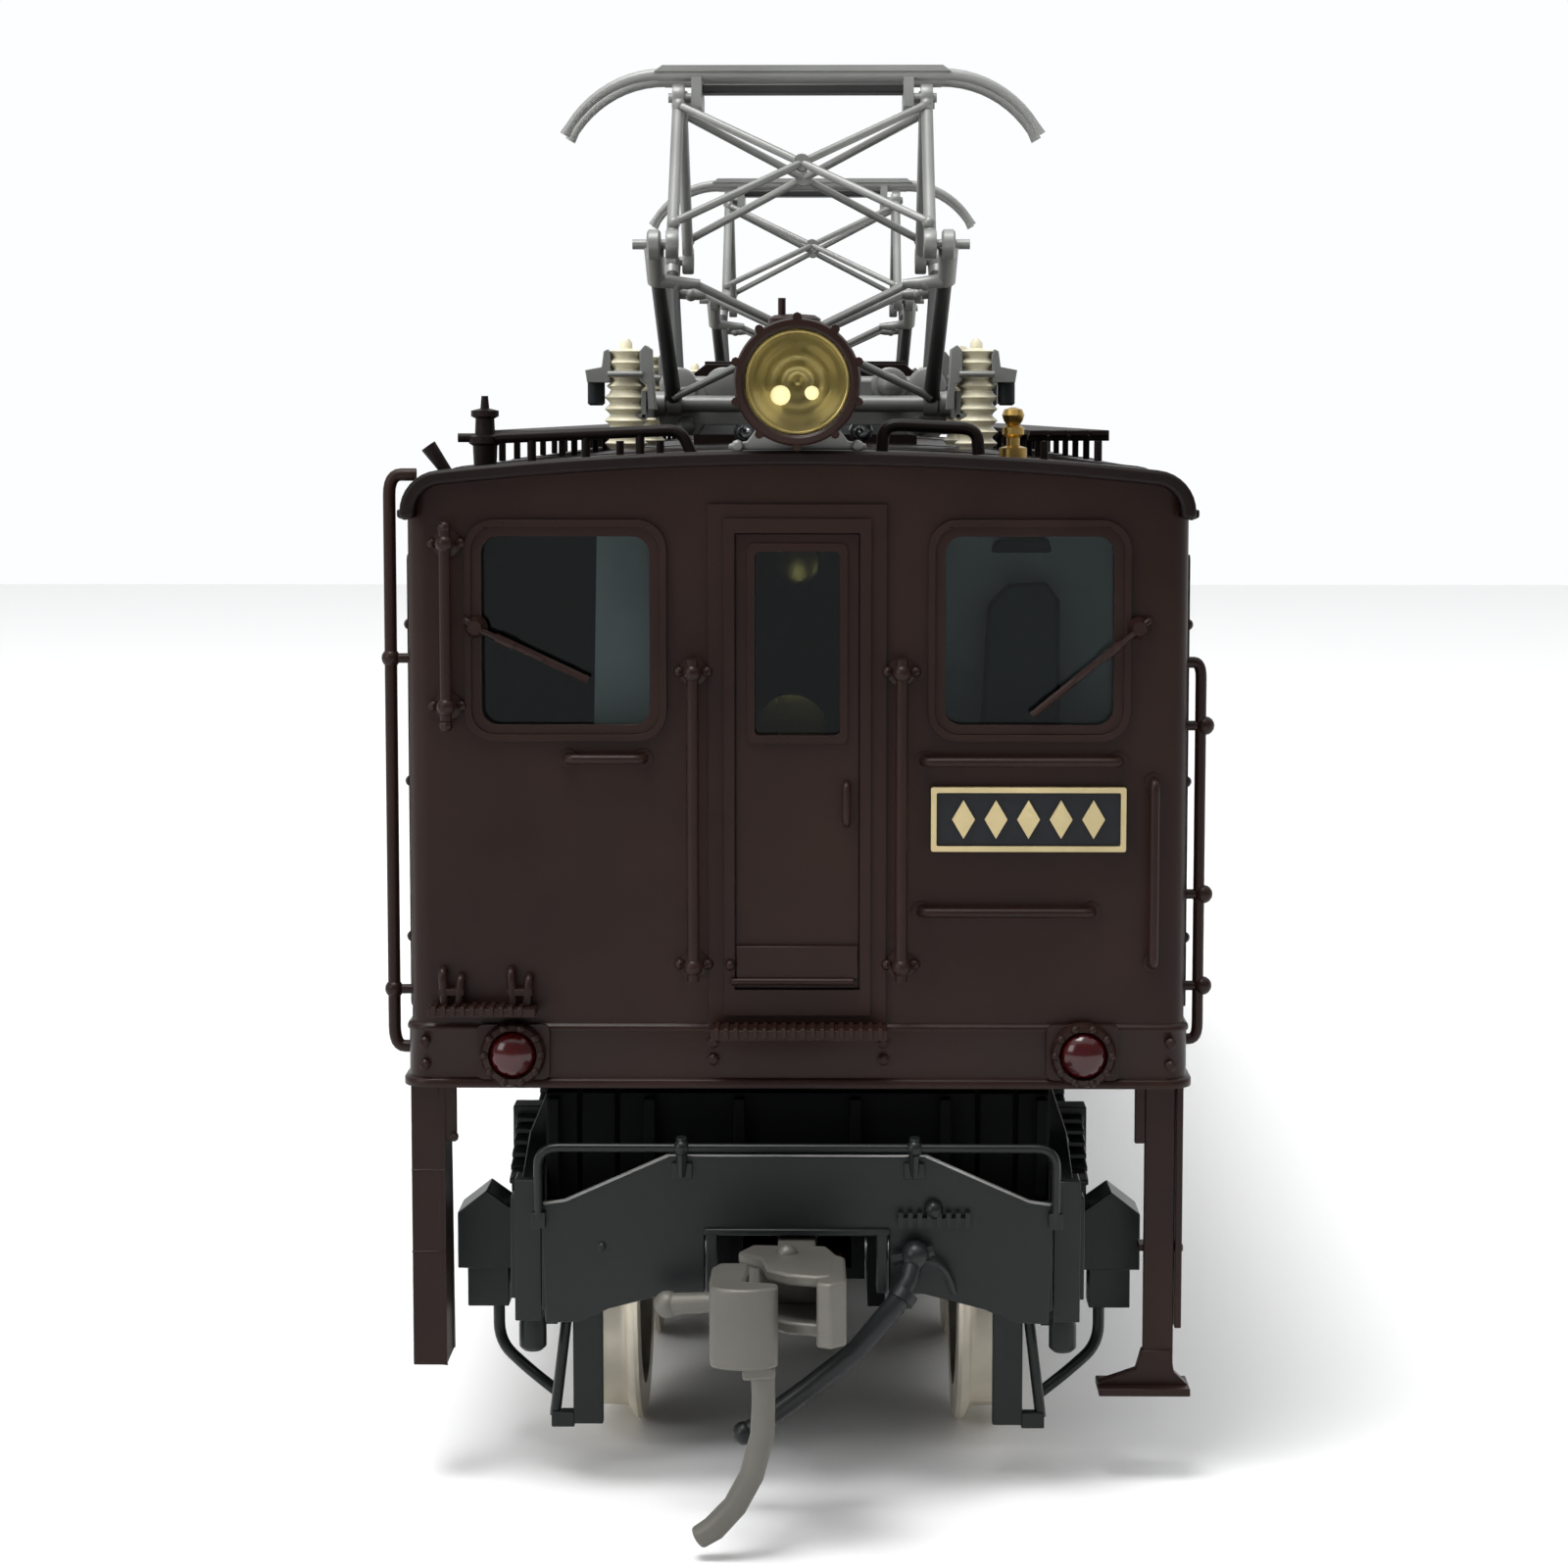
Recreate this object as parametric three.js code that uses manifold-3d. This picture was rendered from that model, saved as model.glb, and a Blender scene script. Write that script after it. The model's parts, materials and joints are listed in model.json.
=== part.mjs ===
// Model electric locomotive, 1:80 scale for 16.5 mm gauge track.
// Millimetres, +Z up, +Y along the track. Z = 0 is the lowest point of the wheel flanges,
// and the origin is midway between the two bogies. The front end is towards -Y, and the
// rear end is the same set of pieces turned half round.

import * as THREE from "three";
import { mergeVertices } from "three/addons/utils/BufferGeometryUtils.js";
import Module from "manifold-3d";

const wasm = await Module();
wasm.setup();

// ---------------------------------------------------------------- driving dimensions

const SEAT_GAP = 0.1; // left between pieces that are seated or soldered to each other
const PIN_PLAY = 0.1; // radial clearance of a pin in its eye

const FLANGE = 0.7;
const DRIVER_RADIUS = 7.8;
const IDLER_RADIUS = 5.4;
const WHEEL_BACK = 7.25; // half of the back-to-back distance
const WHEEL_WIDTH = 2.8;
const WHEEL_SIDES = 14;
const AXLE_RADIUS = 1.0;
const JOURNAL_RADIUS = 0.6;
const AXLE_HALF = 12.1;

const BODY_HALF_WIDTH = 17.1;
const BODY_HALF_LENGTH = 73;
const BODY_BOTTOM = 18.2;
const EAVES = 43.4;
const WALL = 0.8;
const FLOOR_BOTTOM = 20.2;
const FLOOR_TOP = 21.2;

const ROOF_TOP = 46.2;
const ROOF_RADIUS = 144;
const ROOF_CORNER = 1.8;
const ROOF_HALF_WIDTH = 17.25;
const ROOF_HALF_LENGTH = 73.8;

const CAB_WINDOW = { x0: 6.43, x1: 13.77, z0: 34.25, z1: 42.5, corner: 0.7 };
const DOOR_WINDOW = { half: 1.86, z0: 33.8, z1: 41.8, corner: 0.25 };
const SIDE_WINDOW = { half: 3.2, z0: 34.0, z1: 39.8, corner: 0.5, pitch: 22.75 };
const CAB_SIDE_WINDOW_Y = 57.9;
const CAB_DOOR_Y = 67.1;
const CAB_DOOR_WINDOW_HALF = 2.2;

const BOGIE_Y = 43.9;
const AXLE_SPACING = 16.5;
const DRIVER_AXLE_Z = DRIVER_RADIUS + FLANGE;
const IDLER_AXLE_Z = IDLER_RADIUS + FLANGE;
const FRAME_IN = 11.3;
const FRAME_OUT = 12.3;
const HEADSTOCK_Y = -30.4; // front of the headstock, from the bogie's pivot
const BOLSTER_TOP = 17.2;
const PIVOT_TOP = 17.9;
const INNER_PLATE = { in: 3.2, out: 4.0 };

const GEAR_TEETH = 12;
const GEAR_RADIUS = 4.7;
const WORM_RADIUS = 1.5;
const GEAR_PLAY = 0.12; // between the tips of the wheel's teeth and the worm's ridges
const SHAFT_Z = DRIVER_AXLE_Z + GEAR_RADIUS + WORM_RADIUS;

const PANTO_Y = 45;
const PANTO_BASE = { y: 2, z: 48.3 }; // the foot shafts, either side of the middle
const PANTO_REACH = 8.0;
const PANTO_RISE = 7.6;
const KNEE = { y: PANTO_BASE.y + PANTO_REACH, z: PANTO_BASE.z + PANTO_RISE };
const HEAD_Z = PANTO_BASE.z + 2 * PANTO_RISE;
const KNEE_PIN = 0.25;
const STAY_RADIUS = 0.2;
const STAY_ASIDE = 0.3; // the stays lie on the outer side of the legs
const STRIP_TOP = 65.1;
const INSULATOR = { x: 8.45, y: 9.6, radius: 1.1, top: 51.4 };

const COUPLER_Z = 10.97;
const COUPLER_PIVOT_Y = -24.4; // these three from the bogie's pivot
const COUPLER_FACE_Y = -40.8;
const KNUCKLE_PIVOT = { x: -2.7, y: -36.2 };

// ---------------------------------------------------------------- materials

const finish = (color, roughness, metalness) =>
  new THREE.MeshStandardMaterial({ color, roughness, metalness });
const BROWN = () => finish(0x33251f, 0.45, 0.2);
const BLACK = () => finish(0x1b1e1e, 0.55, 0.2);
const SILVER = () => finish(0x9b9d9f, 0.35, 0.8);
const NICKEL = () => finish(0xb9b2a6, 0.3, 1.0);
const CAST = () => finish(0x65625d, 0.55, 0.5);
const STEEL = () => finish(0x8c8f92, 0.35, 1.0);
const GLASS = () => finish(0xd8d6c0, 0.1, 0.0);

// ---------------------------------------------------------------- solids

// Each frame carries a shape's x and y into the part, with its depth along the named axis.
const FRAMES = {
  X: new THREE.Matrix4().makeBasis(
    new THREE.Vector3(0, 1, 0), new THREE.Vector3(0, 0, 1), new THREE.Vector3(1, 0, 0),
  ),
  Y: new THREE.Matrix4().makeBasis(
    new THREE.Vector3(1, 0, 0), new THREE.Vector3(0, 0, 1), new THREE.Vector3(0, -1, 0),
  ),
  Z: new THREE.Matrix4(),
};

// A three.js geometry, moved by a matrix, as a solid that can be joined and cut.
function solid(geometry, matrix = new THREE.Matrix4()) {
  const bare = new THREE.BufferGeometry();
  const loose = geometry.index ? geometry.toNonIndexed() : geometry;
  bare.setAttribute("position", loose.getAttribute("position").clone());
  bare.applyMatrix4(matrix);
  const merged = mergeVertices(bare, 1e-4);
  const corners = [];
  for (let i = 0; i < merged.index.count; i += 3) {
    const [a, b, c] = [0, 1, 2].map((k) => merged.index.getX(i + k));
    if (a !== b && b !== c && c !== a) corners.push(a, b, c);
  }
  return new wasm.Manifold(
    new wasm.Mesh({
      numProp: 3,
      vertProperties: merged.attributes.position.array,
      triVerts: new Uint32Array(corners),
    }),
  );
}

const join = (...solids) => solids.reduce((a, b) => a.add(b));
const cut = (from, ...tools) => tools.reduce((a, b) => a.subtract(b), from);

// A finished solid as a named mesh.
function piece(name, shape, material) {
  const made = shape.getMesh();
  const geometry = new THREE.BufferGeometry();
  geometry.setAttribute(
    "position",
    new THREE.BufferAttribute(new Float32Array(made.vertProperties), 3),
  );
  geometry.setIndex(new THREE.BufferAttribute(made.triVerts, 1));
  geometry.computeVertexNormals();
  const mesh = new THREE.Mesh(geometry, material);
  mesh.name = name;
  return mesh;
}

function box(x0, x1, y0, y1, z0, z1) {
  const middle = new THREE.Matrix4().makeTranslation((x0 + x1) / 2, (y0 + y1) / 2, (z0 + z1) / 2);
  const size = [x1 - x0, y1 - y0, z1 - z0].map(Math.abs);
  return solid(new THREE.BoxGeometry(...size), middle);
}

// A flat outline carried along an axis of the part from one place to another.
function plate(shape, axis, a, b, curveSegments = 1) {
  const [low, high] = [Math.min(a, b), Math.max(a, b)];
  const geometry = new THREE.ExtrudeGeometry(shape, {
    depth: high - low, bevelEnabled: false, curveSegments,
  });
  const start = new THREE.Matrix4().makeTranslation(0, 0, axis === "Y" ? -high : low);
  return solid(geometry, FRAMES[axis].clone().multiply(start));
}

// A round bar between two points.
function bar(from, to, radius, sides = 8) {
  const [a, b] = [new THREE.Vector3(...from), new THREE.Vector3(...to)];
  const along = b.clone().sub(a);
  const turn = new THREE.Quaternion().setFromUnitVectors(
    new THREE.Vector3(0, 1, 0), along.clone().normalize(),
  );
  const place = new THREE.Matrix4().compose(
    a.add(b).multiplyScalar(0.5), turn, new THREE.Vector3(1, 1, 1),
  );
  return solid(new THREE.CylinderGeometry(radius, radius, along.length(), sides), place);
}

// A bent wire through a list of points.
function wire(points, radius, steps) {
  const path = new THREE.CatmullRomCurve3(points.map((p) => new THREE.Vector3(...p)));
  const section = new THREE.Shape();
  section.absarc(0, 0, radius, 0, 2 * Math.PI);
  return solid(new THREE.ExtrudeGeometry(section, {
    steps, extrudePath: path, curveSegments: 3,
  }));
}

// A turned piece. Its profile is [radius, distance along +X or +Y], in the order of the distance.
function turned(profile, axis, sides, x, y, z) {
  const points = profile.map(([r, h]) => new THREE.Vector2(r, h));
  const half = new THREE.Matrix4().makeRotationY(Math.PI / sides);
  const onto = new THREE.Matrix4().makeRotationZ(axis === "X" ? -Math.PI / 2 : 0);
  const place = new THREE.Matrix4().makeTranslation(x, y, z).multiply(onto).multiply(half);
  return solid(new THREE.LatheGeometry(points, sides), place);
}

const polygon = (points) => new THREE.Shape(points.map(([x, y]) => new THREE.Vector2(x, y)));

function roundedRect(x0, x1, y0, y1, r) {
  const s = new THREE.Shape();
  s.absarc(x1 - r, y0 + r, r, -Math.PI / 2, 0);
  s.absarc(x1 - r, y1 - r, r, 0, Math.PI / 2);
  s.absarc(x0 + r, y1 - r, r, Math.PI / 2, Math.PI);
  s.absarc(x0 + r, y0 + r, r, Math.PI, 1.5 * Math.PI);
  return s;
}

function circle(x, y, r) {
  const s = new THREE.Shape();
  s.absarc(x, y, r, 0, 2 * Math.PI);
  return s;
}

// ---------------------------------------------------------------- body shell and roof

// Adds the arch of the roof to an outline, from its right foot to its left foot.
function archTo(shape, inset, backwards = false) {
  const corner = ROOF_CORNER - inset;
  const radius = ROOF_RADIUS - inset;
  const centreZ = ROOF_TOP - ROOF_RADIUS;
  const x = ROOF_HALF_WIDTH - inset - corner;
  const z = centreZ + Math.sqrt((radius - corner) ** 2 - x ** 2);
  const lean = Math.atan2(z - centreZ, x);
  const arcs = [
    [x, z, corner, 0, lean],
    [0, centreZ, radius, lean, Math.PI - lean],
    [-x, z, corner, Math.PI - lean, Math.PI],
  ];
  if (backwards) {
    arcs.reverse().forEach(([cx, cz, r, a, b]) => shape.absarc(cx, cz, r, b, a, true));
  } else {
    arcs.forEach(([cx, cz, r, a, b]) => shape.absarc(cx, cz, r, a, b));
  }
}

function roofPanel() {
  const foot = EAVES + SEAT_GAP;
  const s = new THREE.Shape();
  s.moveTo(ROOF_HALF_WIDTH, foot);
  archTo(s, 0);
  s.lineTo(-ROOF_HALF_WIDTH, foot);
  s.lineTo(-ROOF_HALF_WIDTH + WALL, foot);
  archTo(s, WALL, true);
  s.lineTo(ROOF_HALF_WIDTH - WALL, foot);
  return plate(s, "Y", -ROOF_HALF_LENGTH, ROOF_HALF_LENGTH, 3);
}

// The end wall of a cab, with its two windows and the window of the gangway door.
function cabEnd() {
  const shoulder = ROOF_HALF_WIDTH - WALL - SEAT_GAP;
  const s = new THREE.Shape();
  s.moveTo(-BODY_HALF_WIDTH, BODY_BOTTOM);
  s.lineTo(BODY_HALF_WIDTH, BODY_BOTTOM);
  s.lineTo(BODY_HALF_WIDTH, EAVES);
  s.lineTo(shoulder, EAVES);
  archTo(s, WALL + SEAT_GAP);
  s.lineTo(-shoulder, EAVES);
  s.lineTo(-BODY_HALF_WIDTH, EAVES);
  const w = CAB_WINDOW;
  const d = DOOR_WINDOW;
  s.holes.push(
    roundedRect(-w.x1, -w.x0, w.z0, w.z1, w.corner),
    roundedRect(w.x0, w.x1, w.z0, w.z1, w.corner),
    roundedRect(-d.half, d.half, d.z0, d.z1, d.corner),
  );
  return plate(s, "Y", -BODY_HALF_LENGTH, WALL - BODY_HALF_LENGTH, 2);
}

function sidePanel(side) {
  const end = BODY_HALF_LENGTH - WALL - SEAT_GAP;
  const s = polygon([[-end, BODY_BOTTOM], [end, BODY_BOTTOM], [end, EAVES], [-end, EAVES]]);
  const w = SIDE_WINDOW;
  const hole = (y, half) =>
    s.holes.push(roundedRect(y - half, y + half, w.z0, w.z1, w.corner));
  [-2, -1, 0, 1, 2].forEach((k) => hole(k * w.pitch, w.half));
  [-1, 1].forEach((k) => {
    hole(k * CAB_SIDE_WINDOW_Y, w.half);
    hole(k * CAB_DOOR_Y, CAB_DOOR_WINDOW_HALF);
  });
  return plate(s, "X", side * (BODY_HALF_WIDTH - WALL), side * BODY_HALF_WIDTH);
}

// The floor, with a round pad over the pivot of each bogie.
function floorPlate() {
  const x = BODY_HALF_WIDTH - WALL - SEAT_GAP;
  const y = BODY_HALF_LENGTH - WALL - SEAT_GAP;
  const pads = [-1, 1].map((k) =>
    bar([0, k * BOGIE_Y, PIVOT_TOP + SEAT_GAP], [0, k * BOGIE_Y, FLOOR_TOP - 0.5], 4, 10),
  );
  return join(box(-x, x, -y, y, FLOOR_BOTTOM, FLOOR_TOP), ...pads);
}

function roofMonitor() {
  const outline = polygon([
    [-6.3, ROOF_TOP + SEAT_GAP], [6.3, ROOF_TOP + SEAT_GAP], [6.3, 50.1], [5.7, 50.7],
    [-5.7, 50.7], [-6.3, 50.1],
  ]);
  return plate(outline, "Y", -28, 28);
}

// The boarded walkway along one edge of the roof, on pairs of short legs.
function walkway(side) {
  const [inner, outer, half] = [10.6, 14.4, 62];
  const legs = [-60, -36, -12, 12, 36, 60].flatMap((y) => [
    box(side * (inner + 0.4), side * (inner + 0.8), y - 0.3, y + 0.3, 46.0, 46.9),
    box(side * (outer - 0.8), side * (outer - 0.4), y - 0.3, y + 0.3, 45.75, 46.9),
  ]);
  return join(box(side * inner, side * outer, -half, half, 46.75, 47.05), ...legs);
}

// ---------------------------------------------------------------- fittings of one end

const HEADLIGHT = { z: 49.18, radius: 2.75, front: -74.5, back: -67.6, lens: 2.26 };

function headlight() {
  const h = HEADLIGHT;
  const profile = [
    [0, h.front + 0.9], [h.lens + 0.1, h.front + 0.9], [h.lens + 0.1, h.front],
    [h.radius, h.front], [h.radius, h.back + 1.4], [1.3, h.back], [0, h.back],
  ];
  return join(
    turned(profile, "Y", 12, 0, 0, h.z),
    box(-0.9, 0.9, -72.4, -69.4, 46.3, 47.2),
    box(-2.9, 2.9, -72, -70.4, 46.3, 46.7),
    bar([-0.15, -71.2, 51.4], [-0.15, -71.2, 52.1], 1.06, 8),
  );
}

function headlightLens() {
  const h = HEADLIGHT;
  return turned(
    [[0, h.front + 0.3], [h.lens - 0.4, h.front + 0.35], [h.lens, h.front + 0.8], [0, h.front + 0.8]],
    "Y", 12, 0, 0, h.z,
  );
}

// The boarding ladder under the left corner: a channel with rungs across its mouth.
function ladder() {
  const channel = polygon([
    [-17.2, -72.6], [-15.6, -72.6], [-15.6, -72.2], [-16.8, -72.2],
    [-16.8, -69.8], [-15.6, -69.8], [-15.6, -69.4], [-17.2, -69.4],
  ]);
  const rungs = [5.9, 9.6, 13.3].map((z) => box(-17.0, -15.6, -72.4, -69.6, z, z + 0.4));
  return join(plate(channel, "Z", 5.5, BODY_BOTTOM - SEAT_GAP), ...rungs);
}

// The boarding step under the right corner: a post with a wide foot.
function stepPost() {
  const outline = polygon([
    [13.5, 4.0], [17.6, 4.0], [17.6, 4.9], [17.4, 5.6], [17.4, BODY_BOTTOM - SEAT_GAP],
    [15.9, BODY_BOTTOM - SEAT_GAP], [15.9, 6.2], [15.2, 5.0], [13.5, 4.9],
  ]);
  return join(
    plate(outline, "Y", -71.4, -70.6),
    box(15.3, 17.4, -72.2, -69.8, 10.4, 10.8),
    box(13.5, 17.6, -72.2, -69.8, 4.4, 4.9),
  );
}

// A wire handrail beside a cab door, on stanchions.
function handrail(side, low, high, stanchions) {
  const [x, y] = [side * 18, -71.2];
  const stubs = stanchions.map((z) =>
    bar([side * (BODY_HALF_WIDTH + SEAT_GAP), y, z], [side * 18.1, y, z], 0.28, 6),
  );
  return join(bar([x, y, low], [x, y, high], 0.3), ...stubs);
}

// ---------------------------------------------------------------- pantograph
// Made about the middle of its own base. "Near" is towards -Y.

function pantographBase() {
  const legs = [-1, 1].flatMap((i) => [-1, 1].map((k) =>
    bar([i * INSULATOR.x, k * INSULATOR.y, 46.3], [i * INSULATOR.x, k * INSULATOR.y, INSULATOR.top],
      INSULATOR.radius, 8)));
  const channels = [-1, 1].map((i) => box(i * 7.5, i * 8.3, -10.4, 10.4, 47.6, 48.7));
  return join(
    box(-6, 6, -1.3, 1.3, 47.3, 49.6),
    box(-7.8, 7.8, -1.0, 1.0, 47.3, 47.8),
    ...channels,
    ...legs,
  );
}

// A point part of the way along a leg, moved square to it by aside. Ends are [y, z].
function alongLeg(from, to, share, aside) {
  const [dy, dz] = [to[0] - from[0], to[1] - from[1]];
  const length = Math.hypot(dy, dz);
  return [from[0] + share * dy - aside * dz / length, from[1] + share * dz + aside * dy / length];
}

// One lower frame: a foot shaft, two legs that splay out, crossed stays that reach a bracket
// below each knee, and a pin at each knee.
function lowerFrame(k) {
  const foot = [k * PANTO_BASE.y, PANTO_BASE.z];
  const knee = [k * KNEE.y, KNEE.z];
  const below = (share) => alongLeg(foot, knee, share, -k * STAY_ASIDE);
  const legs = [-1, 1].flatMap((i) => [
    bar([i * 6.4, ...foot], [i * 7.1, ...knee], 0.35, 5),
    bar([i * 6.8, ...knee], [i * 7.4, ...knee], 0.6, 6),
    bar([i * 5.98, ...knee], [i * 8.1, ...knee], KNEE_PIN, 6),
    bar([i * 7.0, ...below(0.82)], [i * 4.9, ...below(0.8)], 0.25, 4),
    bar([i * 5.2, ...below(0.8)], [-i * 6.45, ...below(0.07)], STAY_RADIUS, 4),
  ]);
  return join(bar([-7.3, ...foot], [7.3, ...foot], 0.45, 6), ...legs);
}

// One upper frame: two legs with an eye at each end, joined by crossed stays.
function upperFrame(k) {
  const knee = [k * KNEE.y, KNEE.z];
  const top = [k * PANTO_BASE.y, HEAD_Z];
  const above = (share) => alongLeg(knee, top, share, -k * STAY_ASIDE);
  const eye = (i, end) => bar([i * 5.9, ...end], [i * 6.5, ...end], 0.65, 7);
  const bore = (i, end) => bar([i * 5.5, ...end], [i * 6.8, ...end], KNEE_PIN + PIN_PLAY, 6);
  const solidFrame = join(...[-1, 1].flatMap((i) => [
    bar([i * 6.2, ...knee], [i * 6.2, ...top], 0.3, 5),
    eye(i, knee),
    eye(i, top),
    bar([i * 6.2, ...above(0.11)], [-i * 6.2, ...above(0.92)], STAY_RADIUS, 4),
  ]));
  return cut(solidFrame, ...[-1, 1].flatMap((i) => [bore(i, knee), bore(i, top)]));
}

// The collector head: two strips with horns, on a pair of carriers that hold the pivot pins,
// with a spring plate between the carriers.
function collectorHead() {
  const bow = polygon([
    [-12.1, 62.0], [-11.7, 61.9], [-9.6, 63.7], [-7.4, 64.3], [7.4, 64.3], [9.6, 63.7],
    [11.7, 61.9], [12.1, 62.0], [10, 64.4], [7.6, STRIP_TOP], [-7.6, STRIP_TOP], [-10, 64.4],
  ]);
  const strips = [-1, 1].map((k) => plate(bow, "Y", k * 2.5, k * 1.4));
  const carriers = [-1, 1].flatMap((i) => [
    box(i * 5.0, i * 5.6, -2.5, 2.5, HEAD_Z - 0.6, STRIP_TOP - 0.5),
    ...[-1, 1].map((k) =>
      bar([i * 5.3, k * PANTO_BASE.y, HEAD_Z], [i * 6.7, k * PANTO_BASE.y, HEAD_Z], KNEE_PIN, 6)),
  ]);
  const springPlate = box(-5.1, 5.1, -0.9, 0.9, HEAD_Z + 0.35, HEAD_Z + 0.8);
  return join(...strips, ...carriers, springPlate);
}

// ---------------------------------------------------------------- bogie
// Made about its own pivot, with the coupler towards -Y.

const AXLES = [
  { y: -AXLE_SPACING, z: DRIVER_AXLE_Z, radius: DRIVER_RADIUS, driven: true },
  { y: 0, z: IDLER_AXLE_Z, radius: IDLER_RADIUS, driven: false },
  { y: AXLE_SPACING, z: DRIVER_AXLE_Z, radius: DRIVER_RADIUS, driven: true },
];

function bogieSide(side) {
  const s = polygon([
    [-28.8, 7.8], [-21, 7.8], [-20, 5.2], [-13, 5.2], [-12, 7.8], [-5, 7.8], [-3.6, 3.4],
    [3.6, 3.4], [5, 7.8], [12, 7.8], [13, 5.2], [20, 5.2], [21.5, 7.8], [21.5, 12.6],
    [17, 15.2], [4.6, 15.2], [4.2, 15.9], [-4.2, 15.9], [-4.6, 15.2], [-24, 15.2], [-28.8, 13.9],
  ]);
  const parts = AXLES.map((a) =>
    box(side * (FRAME_OUT - 0.1), side * 13.7, a.y - 1.9, a.y + 1.9, a.z - 2, a.z + 1.9));
  const sand = polygon([
    [side * 12.9, 6.6], [side * 15.7, 6.6], [side * 15.7, 11.2], [side * 14.3, 12.3],
    [side * 12.9, 11.2],
  ]);
  return cut(
    join(
      plate(s, "X", side * FRAME_IN, side * FRAME_OUT),
      ...parts,
      plate(sand, "Y", -23.2, -20.2),
      box(side * 12.2, side * 13.1, -22.4, -21, 8.2, 10.6),
      box(side * FRAME_IN, side * 12.6, -29.3, -27.2, 7.6, 14.1),
    ),
    ...AXLES.map((a) => bar([side * 11, a.y, a.z], [side * 12.6, a.y, a.z], JOURNAL_RADIUS + 0.2, 8)),
  );
}

// The headstock, with the two lifeguards that hang behind it.
function headstock() {
  const outline = polygon([
    [-11.1, 7.8], [-9.3, 7.8], [-5.6, 9.2], [-4.05, 9.25], [-4.05, 12.0], [4.05, 12.0],
    [4.05, 9.25], [5.6, 9.2], [9.3, 7.8], [11.1, 7.8], [11.3, 13.2], [10.2, 13.4],
    [5.65, 15.4], [-5.65, 15.4], [-10.2, 13.4], [-11.3, 13.2],
  ]);
  const guards = [-1, 1].flatMap((i) => [
    box(i * 8.7, i * 9.7, HEADSTOCK_Y + 0.5, -25.9, 8.2, 8.9),
    box(i * 8.7, i * 9.7, -26.6, -25.9, 3.2, 8.9),
    box(i * 8.6, i * 11.1, -27.0, -25.9, 2.1, 4.6),
  ]);
  return join(plate(outline, "Y", HEADSTOCK_Y, HEADSTOCK_Y + 1), ...guards);
}

// The centre frame: two inner plates for the axles, joined by webs, with the bolster on top.
function centreFrame() {
  const p = INNER_PLATE;
  const plates = [-1, 1].map((i) => box(i * p.in, i * p.out, -22, 19.6, 6.6, 16.4));
  const solidFrame = join(
    ...plates,
    box(-FRAME_OUT, FRAME_OUT, -3.8, 3.8, 16.0, BOLSTER_TOP),
    bar([0, 0, BOLSTER_TOP - 0.5], [0, 0, PIVOT_TOP], 3, 10),
    box(-p.out, p.out, -9.4, -8.4, 11.6, 16.4),
    box(-p.out, p.out, 8.4, 9.4, 11.6, 16.4),
    box(-p.out, p.out, 18.8, 19.6, 13.4, 16.4),
  );
  const bores = AXLES.map((a) => bar([-5, a.y, a.z], [5, a.y, a.z], AXLE_RADIUS + 0.2, 8));
  return cut(solidFrame, ...bores, bar([0, -12, SHAFT_Z], [0, 24, SHAFT_Z], 1.05, 8));
}

// A pair of wheels and their axle, turned in one piece, with the worm wheel on a driven axle.
function wheelset(axle) {
  const flat = Math.cos(Math.PI / WHEEL_SIDES);
  const [tread, flange] = [axle.radius / flat, (axle.radius + FLANGE) / flat];
  const face = WHEEL_BACK + WHEEL_WIDTH;
  const right = [
    [AXLE_RADIUS, WHEEL_BACK], [flange, WHEEL_BACK], [tread, WHEEL_BACK + 0.8],
    [tread, face], [AXLE_RADIUS, face], [JOURNAL_RADIUS, face + 0.9],
    [JOURNAL_RADIUS, AXLE_HALF], [0, AXLE_HALF],
  ];
  const left = right.map(([r, x]) => [r, -x]).reverse();
  const turnedPair = turned([...left, ...right], "X", WHEEL_SIDES, 0, axle.y, axle.z);
  return axle.driven ? join(turnedPair, wormWheel(axle)) : turnedPair;
}

function wormWheel(axle) {
  const s = new THREE.Shape();
  const step = (2 * Math.PI) / GEAR_TEETH;
  const tip = GEAR_RADIUS - GEAR_PLAY;
  for (let k = 0; k < GEAR_TEETH; k += 1) {
    [[tip - 0.9, -0.36], [tip, -0.16], [tip, 0.16], [tip - 0.9, 0.36]].forEach(([r, part], i) => {
      const angle = (k + part) * step;
      const [x, y] = [r * Math.cos(angle), r * Math.sin(angle)];
      if (k + i === 0) s.moveTo(x, y);
      else s.lineTo(x, y);
    });
  }
  const geometry = new THREE.ExtrudeGeometry(s, { depth: 1.8, bevelEnabled: false });
  const place = new THREE.Matrix4().makeTranslation(-0.9, axle.y, axle.z).multiply(FRAMES.X);
  return solid(geometry, place);
}

// The shaft along a bogie, with a ridged worm over each driven axle and a ball at its inner end.
function wormShaft() {
  const core = 0.8;
  const worm = (y) => [-1, 0, 1].flatMap((k) => [
    [0.95, y + k * 1.4 - 0.45], [WORM_RADIUS, y + k * 1.4 - 0.15],
    [WORM_RADIUS, y + k * 1.4 + 0.15], [0.95, y + k * 1.4 + 0.45],
  ]);
  const profile = [
    [0, -21.2], [core, -21.2], [core, -18.5], ...worm(-AXLE_SPACING), [core, -14.5],
    [core, 14.5], ...worm(AXLE_SPACING), [core, 18.5], [0.55, 18.6], [0.55, 22.1],
    [0.9, 22.4], [0.9, 23.2], [0.5, 23.6], [0, 23.6],
  ];
  return turned(profile, "Y", 6, 0, 0, SHAFT_Z);
}

// The box that holds the coupler's shank on its post, open to the front.
function drawBox() {
  const [low, high] = [9.6, 12.4];
  return join(
    cut(
      box(-3, 3, -29.2, -22.2, low, high),
      box(-2.4, 2.4, -30, -22.7, low + 0.5, high - 0.5),
    ),
    bar([0, COUPLER_PIVOT_Y, low + 0.3], [0, COUPLER_PIVOT_Y, high - 0.3], 0.6, 8),
  );
}

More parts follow.
